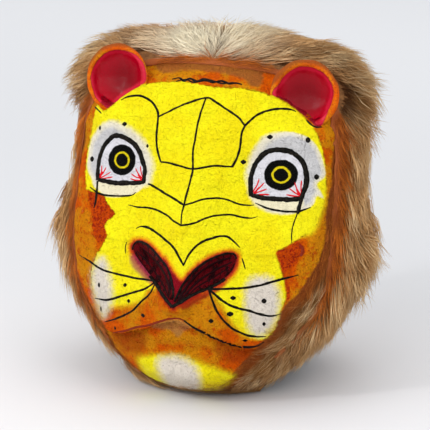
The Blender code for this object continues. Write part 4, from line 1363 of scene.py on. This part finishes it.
def makeEarPaint():
    material, tree, shader = startMaterial("earPaint")
    mark = roughEdge(tree, "bowlEdge", 0.8, 240.0)
    orange = addSpecks(tree, palette["orange"], ear["specks"])
    orange = blend(tree, fieldOf(tree, "rimShade"), orange, palette["sprayDark"])
    # painted shade: the bowl's crimson darkens towards its deep middle
    bowl = blend(tree, window(tree, mark, 3.0, 13.0), palette["ear"], palette["earHollowShade"])
    # painted highlight: lighter red along the edge of the bowl
    rim = edgeShare(tree, "rimEdge", 1.5, 300.0, 1.5, 4.5, 0.85, 0.0)
    bowl = blend(tree, rim, bowl, palette["earRimHighlight"])
    inside = window(tree, mark, -0.9, 0.3)
    face = edgeShare(tree, "yellowEdge", 0.8, 240.0, -0.8, 0.8)
    inside = times(tree, inside, math2(tree, "SUBTRACT", 1.0, face))
    colour = blend(tree, face, blend(tree, inside, orange, bowl), palette["yellow"])
    rough = window(tree, inside, 0.0, 1.0, *ear["roughness"])
    finishShader(tree, shader, colour, rough, ear["gloss"])
    flock = times(tree, noiseOf(tree, 430.0, 4.0, 0.7), window(tree, inside, 0.0, 1.0, 1.0, 0.08))
    bumpOf(tree, [(noiseOf(tree, 110.0, 2.0, 0.4), 0.0004), (flock, 0.0050)], shader)
    return material


earPaint = makeEarPaint()
makeEar("earCupLeft", -1.0, earPaint, "ear_cup_left")
makeEar("earCupRight", 1.0, earPaint, "ear_cup_right")
print("stage: ears")


fur = {
    "voxel": 0.0052,
    "inset": 0.0115,  # the roots lie this far under the outer form
    "trims": (  # more of it here: side, height, fade, inset, share
        (1.0, 0.02, 0.075, 0.020, 0.30),
        (1.0, 0.175, 0.085, 0.007, 0.10),
        (1.0, 0.290, 0.040, 0.007, 0.10),
        (-1.0, 0.262, 0.036, 0.009, 0.15),
    ),
    "trimSide": 0.06,
    "swirlSide": -0.004,
    "swirlHeight": 0.185,
    "splitHeight": 0.229,
    "splitForward": -0.045,
    "fringeLength": 0.017,
    "fringeCount": 6500,
    "fringeInside": 1.5,  # pixels
    "fringeTop": 0.285,
    "fringeBack": 0.0,
    "kinds": (  # sway, rise, fall
        (0.09, 0.44, 0.29), (-0.11, 0.36, 0.25), (0.15, 0.50, 0.37), (-0.07, 0.30, 0.18),
        (0.04, 0.40, 0.30), (-0.15, 0.58, 0.40),
    ),
    "lengthRanges": ((0.72, 1.22), (0.84, 1.14)),  # of a strand, of a lock
    "jitter": 0.28,
    "drift": 1.5,
    "insetShare": 0.62,
    "perPiece": 16400,
    "length": 0.046,
    "lengthTop": 0.034,
    "lengthSpray": 0.020,
    "thickness": 0.0088,  # half width of a lock, as a share of its length
    "gather": 0.75,
    "lockSpacing": 0.013,
    "floor": 0.0006,
    "gapWidth": 5.0,  # pixels
    "fringe": 0.005,
    "strandCorners": 7,
    "earClear": 0.037,
    "earBare": 0.0345,  # no roots nearer to an ear's middle
    "roughness": 0.62,
    "gloss": 0.14,
    "out": 0.22,  # how much of each way the hair takes
    "back": 0.30,
    "drop": 0.15,
    "rearOut": 0.25,
    "comb": 0.9,
    "rear": (0.02, 0.08),  # where it starts and how far it fades in, in metres
    "outFrom": (0.10, 0.06),
    "top": (0.27, 0.05),
    "seen": (0.06, 0.06),
    "ahead": (0.05, 0.02),
    "parting": 0.05,
    "earFade": 0.003,
    "tuck": 0.003,
    # pairs of rows: where, and how much
    "lowLengths": ((0.0, 0.05, 0.12), (0.34, 0.55, 1.0)),
    "sprayBand": ((0.0, 0.10, 0.15, 0.28, 0.33), (0.004, 0.009, 0.013, 0.012, 0.005)),
    "fringeSpray": ((4.0, 15.0), (1.0, 0.1)),
    "fringeSprayLow": ((0.01, 0.03), (0.1, 1.0)),
    "fringeLengths": ((0.0, 12.0), (0.55, 1.0)),
    "fringeLow": ((0.0, 0.07), (0.6, 1.0)),
    "fringeBrown": (0.6, 9.0, 8.0),  # share, middle and width in pixels
    "fringeGrow": 3.0,
    # a painted highlight on the top of the crown, where the hair parts
    "crownHighlightSpot": (204.0, 46.0, 48.0, 18.0),  # middle and width, across and down
    "sprayShorter": 0.85,
    "edgeShorter": 0.45,
    "earShorter": 0.70,
    "growFrom": (0.0006, 0.0018),
    "inwardLimit": (0.45, 0.3),
    "underLimit": (0.93, 0.1),
    "hiddenShare": (0.55, 0.45),
}


def makeFurBody(material):
    work = bmesh.new()
    for name in ("crown_fur", "mane_fur_left", "mane_fur_right"):
        work.from_mesh(frame["nodes"][name].data)
    bmesh.ops.remove_doubles(work, verts=work.verts, dist=0.00001)
    mesh = bpy.data.meshes.new("furBody")
    work.to_mesh(mesh)
    work.free()
    raw = addObject("furBody", mesh)
    step = raw.modifiers.new("even", "REMESH")
    step.mode = "VOXEL"
    step.voxel_size = fur["voxel"]
    even = evaluated(raw)
    places, _ = meshArrays(even)
    thick = np.zeros(len(places))
    for i, p in enumerate(places):
        hit, _, _, distance = skin.find_nearest(Vector(p))
        inset, share = fur["inset"], fur["insetShare"]
        for end, middle, fade, more, moreShare in fur["trims"]:
            here = min(max(end * p[0] / fur["trimSide"], 0.0), 1.0)
            here *= math.exp(-((p[2] - middle) / fade) ** 2)
            inset, share = inset + more * here, share + moreShare * here
        inset = min(inset, min(share, 0.94) * distance)
        thick[i] = distance - inset
        places[i] = np.array(hit) + (p - np.array(hit)) * (thick[i] / max(distance, 1e-6))
    even.vertices.foreach_set("co", places.ravel())
    even.update()
    made = addObject("furBacking", even)
    even.materials.clear()
    even.materials.append(material)
    even.shade_smooth()
    return made, thick


def hairFlow(places, normals, behind):
    # the way the hair lies: from the middle of the top round the face, down at the back
    count = len(places)
    x, forward, z = places[:, 0], shift - places[:, 1], places[:, 2]
    acrossMiddle, overMiddle = x - fur["swirlSide"], z - fur["swirlHeight"]
    radius = np.maximum(np.hypot(acrossMiddle, overMiddle), 1e-6)
    side = np.where(acrossMiddle >= 0.0, 1.0, -1.0)
    flat = np.zeros(count)
    along = np.column_stack((side * overMiddle, flat, -np.abs(acrossMiddle))) / radius[:, None]
    outward = np.column_stack((acrossMiddle, flat, overMiddle)) / radius[:, None]
    down, back = np.array([[0.0, 0.0, -1.0]]), np.array([[0.0, 1.0, 0.0]])
    rear = ramp(-forward, *fur["rear"])[:, None]
    high = ramp(z, *fur["outFrom"])[:, None]
    front = along + fur["out"] * high * outward + fur["back"] * back + fur["drop"] * high * down
    flow = front * (1.0 - rear) + (down + fur["rearOut"] * outward) * rear
    middle = bell(x / fur["parting"]) * ramp(z, *fur["top"])
    flow += (fur["comb"] * middle)[:, None] * back
    flow -= (fur["comb"] * frontShare(forward) * bell(behind / fur["fringe"]))[:, None] * back
    nearEar, bare = np.zeros(count), np.ones(count)
    for end in (-1.0, 1.0):
        away = places - earMiddle(end)
        apart = np.maximum(np.linalg.norm(away, axis=1), 1e-6)
        near = np.exp(-((apart / fur["earClear"]) ** 4))
        nearEar = np.maximum(nearEar, near)
        bare *= ramp(apart, fur["earBare"], fur["earFade"])
        flow += (fur["comb"] * near / apart)[:, None] * away
    flow -= normals * np.sum(flow * normals, axis=1, keepdims=True)
    return flow / np.maximum(np.linalg.norm(flow, axis=1, keepdims=True), 1e-6), nearEar, bare


def frontShare(forward):
    return ramp(forward, -fur["seen"][0], fur["seen"][1])


def meshArrays(mesh):
    count = len(mesh.vertices)
    places, normals = np.zeros(count * 3), np.zeros(count * 3)
    mesh.vertices.foreach_get("co", places)
    mesh.vertex_normals.foreach_get("vector", normals)
    return places.reshape(-1, 3), normals.reshape(-1, 3)


def furFields(mesh, thick=None):
    # without a thickness the mesh is bare skin beside the painted face
    places, normals = meshArrays(mesh)
    x, forward, z = places[:, 0], shift - places[:, 1], places[:, 2]
    pixels = toPixels(places)
    seen = frontShare(forward)
    heights, forwards = np.array(furLine).T
    line = np.interp(z, heights * shell["height"], forwards * shell["faceReach"])
    behind = np.maximum(line - forward - fur["tuck"], 0.0)
    flow, nearEar, clear = hairFlow(places, normals, behind)
    length = fur["length"] + (fur["lengthTop"] - fur["length"]) * ramp(z, *fur["top"])
    length = length * np.interp(z, *fur["lowLengths"])
    if thick is None:
        outside = -signedDistance(pixels, paintAreas["face"])
        spray = np.interp(outside, *fur["fringeSpray"]) * np.interp(z, *fur["fringeSprayLow"])
        share, middle, width = fur["fringeBrown"]
        browned = share * bell((outside - middle) / width)
        length = fur["fringeLength"] * np.interp(outside, *fur["fringeLengths"])
        length *= np.interp(z, *fur["fringeLow"])
        grow = ramp(outside, 0.0, fur["fringeGrow"])
    else:
        browned = np.zeros(len(places))
        band = np.interp(z, *fur["sprayBand"])
        reachOut = np.hypot(thick * 1.5, behind)
        spray = np.clip((1.25 * band - reachOut) / (0.5 * band), 0.0, 1.0)
        length = length + (fur["lengthSpray"] - length) * spray * fur["sprayShorter"]
        length *= ((1.0 - fur["edgeShorter"] * seen * bell(behind / fur["fringe"]))
                   * (1.0 - fur["earShorter"] * nearEar))
        grow = ramp(thick, *fur["growFrom"])
        facing = np.zeros(len(places))
        for i in range(len(places)):
            way = Vector(places[i]) - skin.find_nearest(Vector(places[i]))[0]
            facing[i] = way.normalized().dot(Vector(normals[i])) if way.length > 1e-6 else 0.0
        start, width = fur["inwardLimit"]
        grow *= ramp(facing, -start, width)  # none on the side on the shell
        start, width = fur["underLimit"]
        least, more = fur["hiddenShare"]
        grow *= ramp(normals[:, 2], -start, width) * (least + more * seen)
    grow = grow * clear
    # pale: a painted highlight on the top of the crown, on the front only
    column, wide, row, tall = fur["crownHighlightSpot"]
    pale = bell((pixels[:, 0] - column) / wide) * bell((pixels[:, 1] - row) / tall)
    shade = np.max([bell(pathDistance(pixels, path) / fur["gapWidth"]) for path in furGaps], axis=0)
    ahead = ramp(forward, -fur["ahead"][0], fur["ahead"][1])
    for name, values in (("flow", flow), ("spray", spray), ("reach", length), ("grow", grow),
                         ("pale", pale * ahead), ("shade", np.maximum(shade * ahead, browned))):
        setField(mesh, name, values)
    return x, forward, z


def makeStrand(name, sway, rise, fall):
    # one wisp of hair along +X: three sides, a root, a waist and a tip
    points, faces, alongs = [], [], []
    for t, size in ((0.0, 0.8), (0.48, 1.0)):
        for corner in range(3):
            turn = 2.0 * math.pi * corner / 3.0
            width = fur["thickness"] * size
            points.append((t, sway * math.sin(3.0 * t) + width * math.sin(turn),
                           rise * t - fall * t * t + 0.7 * width * math.cos(turn)))
            alongs.append(t)
    points.append((1.0, sway * math.sin(3.0), rise - fall))
    alongs.append(1.0)
    for corner in range(3):
        after = (corner + 1) % 3
        faces.append((corner, after, 3 + after, 3 + corner))
    faces += [(3, 4, 6), (4, 5, 6), (5, 3, 6), (2, 1, 0)]
    made = newObject(name, points, faces, ())
    setField(made.data, "along", np.array(alongs))
    pointOutward(made.data)
    made.data.shade_smooth()
    return made


def makeStrandTree():
    tree, start, end = startTree("furStrands", (
        ("Density", "Float", 1000.0), ("Seed", "Int", 1), ("Lock Spacing", "Float", 0.013),
        ("Gather", "Float", 0.7), ("Floor", "Float", 0.0), ("Strands", "Collection", None),
        ("Hair", "Material", None),
    ))
    source, density = start.outputs["Geometry"], start.outputs["Density"]
    seeds = add(tree, "GeometryNodeDistributePointsOnFaces", {
        "Mesh": source, "Distance Min": start.outputs["Lock Spacing"], "Density Max": 30000.0,
        "Seed": 7,
    }, distribute_method="POISSON").outputs["Points"]
    roots = add(tree, "GeometryNodeDistributePointsOnFaces", {
        "Mesh": source, "Density": times(tree, density, namedField(tree, "grow")),
        "Seed": start.outputs["Seed"],
    }, distribute_method="RANDOM")
    normal = add(tree, "GeometryNodeCaptureAttribute", {"Geometry": roots.outputs["Points"]})
    normal.capture_items.new("VECTOR", "Normal")
    tree.links.new(roots.outputs["Normal"], normal.inputs["Normal"])
    place = add(tree, "GeometryNodeInputPosition").outputs[0]
    nearest = add(tree, "GeometryNodeSampleNearest", {"Geometry": seeds},
                  domain="POINT").outputs["Index"]
    lockPlace = add(tree, "GeometryNodeSampleIndex",
                    {"Geometry": seeds, "Value": place, "Index": nearest},
                    data_type="FLOAT_VECTOR", domain="POINT").outputs["Value"]
    lockChance = randomOf(tree, {"ID": nearest, "Seed": 3})
    chance = randomOf(tree, {"Seed": 11})
    length = namedField(tree, "reach")
    for value, (least, most) in zip((chance, lockChance), fur["lengthRanges"]):
        ranged = add(tree, "ShaderNodeMapRange", {"Value": value, "To Min": least, "To Max": most})
        length = times(tree, length, ranged.outputs["Result"])
    reach = fur["jitter"]
    jitter = randomOf(tree, {"Min": (-reach,) * 3, "Max": (reach,) * 3, "Seed": 5}, "FLOAT_VECTOR")
    drift = add(tree, "ShaderNodeTexNoise", {"Vector": place, "Scale": 40.0, "Detail": 1.5})
    drift = vectorMath(tree, "SUBTRACT", drift.outputs["Color"], (0.5, 0.5, 0.5))
    way = vectorMath(tree, "ADD", namedField(tree, "flow", "FLOAT_VECTOR"), jitter)
    way = vectorMath(tree, "ADD", way, vectorMath(tree, "SCALE", drift, fur["drift"]))
    toLock = vectorMath(tree, "SCALE", vectorMath(tree, "SUBTRACT", lockPlace, place),
                        start.outputs["Gather"])
    aim = vectorMath(tree, "ADD", vectorMath(tree, "SCALE", way, length), toLock)
    first = add(tree, "FunctionNodeAlignRotationToVector", {"Vector": normal.outputs["Normal"]},
                axis="Z").outputs[0]
    turn = add(tree, "FunctionNodeAlignRotationToVector", {"Rotation": first, "Vector": aim},
               axis="X", pivot_axis="Z").outputs[0]
    parts = add(tree, "GeometryNodeCollectionInfo", {
        "Collection": start.outputs["Strands"], "Separate Children": True, "Reset Children": True,
    })
    kept = normal.outputs["Geometry"]
    for name, value in (("lockTint", lockChance), ("ownTint", chance)):
        kept = add(tree, "GeometryNodeStoreNamedAttribute", {
            "Geometry": kept, "Name": name, "Value": value,
        }, data_type="FLOAT", domain="POINT").outputs[0]
    kinds = {"Min": 0, "Max": len(fur["kinds"]) - 1, "Seed": 21}
    placed = add(tree, "GeometryNodeInstanceOnPoints", {
        "Points": kept, "Instance": parts.outputs[0], "Pick Instance": True,
        "Instance Index": randomOf(tree, kinds, "INT"), "Rotation": turn, "Scale": length,
    })
    solid = add(tree, "GeometryNodeRealizeInstances", {"Geometry": placed.outputs[0]})
    parted = add(tree, "ShaderNodeSeparateXYZ", {0: place})
    lowest = math2(tree, "MAXIMUM", parted.outputs["Z"], start.outputs["Floor"])
    joined = add(tree, "ShaderNodeCombineXYZ",
                 {0: parted.outputs["X"], 1: parted.outputs["Y"], 2: lowest}).outputs[0]
    clear = add(tree, "GeometryNodeSetPosition", {"Geometry": solid.outputs[0], "Position": joined})
    hair = add(tree, "GeometryNodeSetMaterial",
               {"Geometry": clear.outputs[0], "Material": start.outputs["Hair"]})
    tree.links.new(hair.outputs[0], end.inputs[0])
    return tree


def makeHair():
    material, tree, shader = startMaterial("furHair")
    along, own = fieldOf(tree, "along"), fieldOf(tree, "ownTint")
    lock, spray, pale = fieldOf(tree, "lockTint"), fieldOf(tree, "spray"), fieldOf(tree, "pale")
    patch = noiseOf(tree, 22.0, 3.0, 0.6)
    tone = math2(tree, "ADD", times(tree, own, 0.45), times(tree, lock, 0.55))
    tone = math2(tree, "ADD", tone, times(tree, math2(tree, "SUBTRACT", patch, 0.5), 0.9))
    hair = blend(tree, window(tree, tone, 0.15, 0.55), palette["furShade"], palette["fur"])
    hair = blend(tree, window(tree, tone, 0.55, 0.98), hair, palette["furLight"])
    # painted highlight: the hair at the top of the crown turns pale, and so do its roots
    hair = blend(tree, pale, hair, palette["furHighlight"])
    # darker towards the roots: the fur's own darker base, and painted shade deep in the pile
    root = times(tree, window(tree, along, 0.0, 0.6, 0.85, 0.0),
                 window(tree, pale, 0.0, 1.0, 1.0, 0.3))
    hair = blend(tree, root, hair, palette["furRootShade"])
    sprayed = blend(tree, window(tree, tone, 0.25, 0.75), palette["sprayDark"], palette["spray"])
    wet = math2(tree, "ADD", spray, times(tree, math2(tree, "SUBTRACT", own, 0.5), 0.35))
    hair = blend(tree, window(tree, wet, 0.25, 0.75), hair, sprayed)
    dark = times(tree, fieldOf(tree, "shade"), window(tree, along, 0.1, 0.9, 0.85, 0.4))
    hair = blend(tree, dark, hair, palette["furDark"])
    finishShader(tree, shader, hair, fur["roughness"], fur["gloss"])
    return material


def makeShadedBacking():
    # painted shade: the fur's inner body under the strands, coloured as dark shaded fur with its
    # spray
    material, tree, shader = startMaterial("furBackingCloth")
    patch = noiseOf(tree, 160.0, 4.0, 0.7)
    hair = blend(tree, window(tree, patch, 0.35, 0.7), palette["furRootShade"], palette["furShade"])
    hair = blend(tree, window(tree, fieldOf(tree, "spray"), 0.3, 0.8), hair, palette["sprayDark"])
    finishShader(tree, shader, hair, 0.95)
    bumpOf(tree, [(noiseOf(tree, 700.0, 3.0, 0.7), 0.001)], shader)
    return material


def takePart(body, name, mask):
    # the faces of the body with at least half their corners in one region
    def cutRest(work):
        gone = [f for f in work.faces if sum(mask[v.index] for v in f.verts) * 2 < len(f.verts)]
        bmesh.ops.delete(work, geom=gone, context="FACES")

    made = addObject(name, body.data.copy())
    editMesh(made.data, cutRest)
    return made


def clearEars(mesh):
    # every strand that would come through an ear's cup goes
    places, _ = meshArrays(mesh)
    inCup = np.zeros(len(places), dtype=bool)
    for side in (-1.0, 1.0):
        along, radius, _ = fromEar(places, side)
        inCup |= (radius < ear["radius"]) & (along > -ear["bowlDepth"] - 2.0 * ear["wall"])
    gone = np.repeat(inCup.reshape(-1, fur["strandCorners"]).any(axis=1), fur["strandCorners"])
    editMesh(mesh, lambda work: bmesh.ops.delete(
        work, geom=[work.verts[i] for i in np.flatnonzero(gone)], context="VERTS"))


def growHair(part, name, count, seed):
    areas = np.zeros(len(part.data.polygons))
    part.data.polygons.foreach_get("area", areas)
    grown = np.zeros(len(part.data.vertices))
    part.data.attributes["grow"].data.foreach_get("value", grown)
    share = np.array([grown[list(f.vertices)].mean() for f in part.data.polygons])
    part.name = name
    part = useTree(part, strandTree, {
        "Density": count / max(float((areas * share).sum()), 1e-6), "Seed": seed,
        "Lock Spacing": fur["lockSpacing"], "Gather": fur["gather"], "Floor": fur["floor"],
        "Strands": strandKinds, "Hair": hairMaterial,
    })
    clearEars(part.data)
    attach(part, "root")
    part.data.calc_loop_triangles()
    print("stage:", name, len(part.data.loop_triangles), "triangles")


furBacking, furThick = makeFurBody(makeShadedBacking())
furSide, furForward, furHeight = furFields(furBacking.data, furThick)
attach(furBacking, "root")
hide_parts("crown_fur", "mane_fur_left", "mane_fur_right")
print("stage: fur backing,", len(furBacking.data.polygons), "faces")

strandKinds = bpy.data.collections.new("strandKinds")
for number, shape in enumerate(fur["kinds"]):
    strand = makeStrand(f"strandKind{number}", *shape)
    bpy.context.scene.collection.objects.unlink(strand)
    strandKinds.objects.link(strand)

strandTree = makeStrandTree()
hairMaterial = makeHair()
isHigh = furHeight >= fur["splitHeight"]
isFront = furForward > fur["splitForward"]
for seed, (name, mask) in enumerate((
    ("crownStrandsFront", isHigh & isFront), ("crownStrandsBack", isHigh & ~isFront),
    ("maneStrandsLeft", ~isHigh & (furSide < 0.0)),
    ("maneStrandsRight", ~isHigh & (furSide >= 0.0)),
)):
    growHair(takePart(furBacking, name, mask), name, fur["perPiece"], seed + 1)

skinPlaces, _ = meshArrays(faceShell.data)
bare = signedDistance(toPixels(skinPlaces), paintAreas["face"]) < fur["fringeInside"]
bare &= (skinPlaces[:, 2] < fur["fringeTop"]) & (shift - skinPlaces[:, 1] > fur["fringeBack"])
bare &= np.arange(len(bare)) < shell["rows"] * (shell["frontCells"] + shell["backCells"]) * 2
fringe = takePart(faceShell, "faceFringe", bare)
furFields(fringe.data)
growHair(fringe, "faceFringe", fur["fringeCount"], 9)
for strand in list(strandKinds.objects):
    bpy.data.objects.remove(strand)
bpy.data.collections.remove(strandKinds)


stage = {
    "floorHalf": 9.0,
    # painted shade: the floor darkens in a band behind the mask and is lighter again far behind
    "middleFrom": (-0.15, 0.5),  # metres behind the middle where the floor's tone changes
    "farFrom": (0.6, 1.5),
    "world": 0.86,
    "worldColour": (0.98, 0.99, 1.0, 1.0),
    "lights": (
        # name, place, size, watts
        ("keyLeft", (-1.5, -1.7, 1.8), 1.5, 12.5),
        ("keyRight", (1.7, -1.1, 1.8), 1.5, 6.5),
        ("top", (0.1, 0.3, 2.3), 1.8, 9.0),
        ("front", (0.1, -2.9, 2.0), 2.0, 14.0),
        ("glint", (-1.42, -1.82, 1.60), 0.26, 12.0),
    ),
    "aim": (0.0, 0.0, 0.15),
}


def makeStage():
    half = stage["floorHalf"]
    material, tree, shader = startMaterial("floorPaper")
    place = tree.nodes.new("ShaderNodeTexCoord").outputs["Object"]
    parts = tree.nodes.new("ShaderNodeSeparateXYZ")
    tree.links.new(place, parts.inputs[0])
    depth = parts.outputs["Y"]
    # painted shade behind the mask, then lighter far away
    change = window(tree, depth, *stage["middleFrom"])
    colour = blend(tree, change, palette["floor"], palette["floorShadeBehind"])
    colour = blend(tree, window(tree, depth, *stage["farFrom"]), colour, palette["floorFar"])
    finishShader(tree, shader, colour, 0.9, 0.1)
    floor = newObject("floor", [(-half, -half, 0), (half, -half, 0), (half, half, 0),
                                (-half, half, 0)], [(0, 1, 2, 3)], (material,))
    world = bpy.data.worlds.new("studio")
    bpy.context.scene.world = world
    world.use_nodes = True
    sky = world.node_tree.nodes["Background"].inputs
    sky["Color"].default_value, sky["Strength"].default_value = stage["worldColour"], stage["world"]
    for name, place, size, watts in stage["lights"]:
        data = bpy.data.lights.new(name, "AREA")
        data.shape = "DISK"
        data.size = size
        data.energy = watts
        light = addObject(name, data)
        light.location = place
        away = Vector(place) - Vector(stage["aim"])
        light.rotation_euler = away.to_track_quat("Z", "Y").to_euler()
    bpy.context.scene.view_settings.view_transform = "Standard"


makeStage()
print("stage: floor and lights")
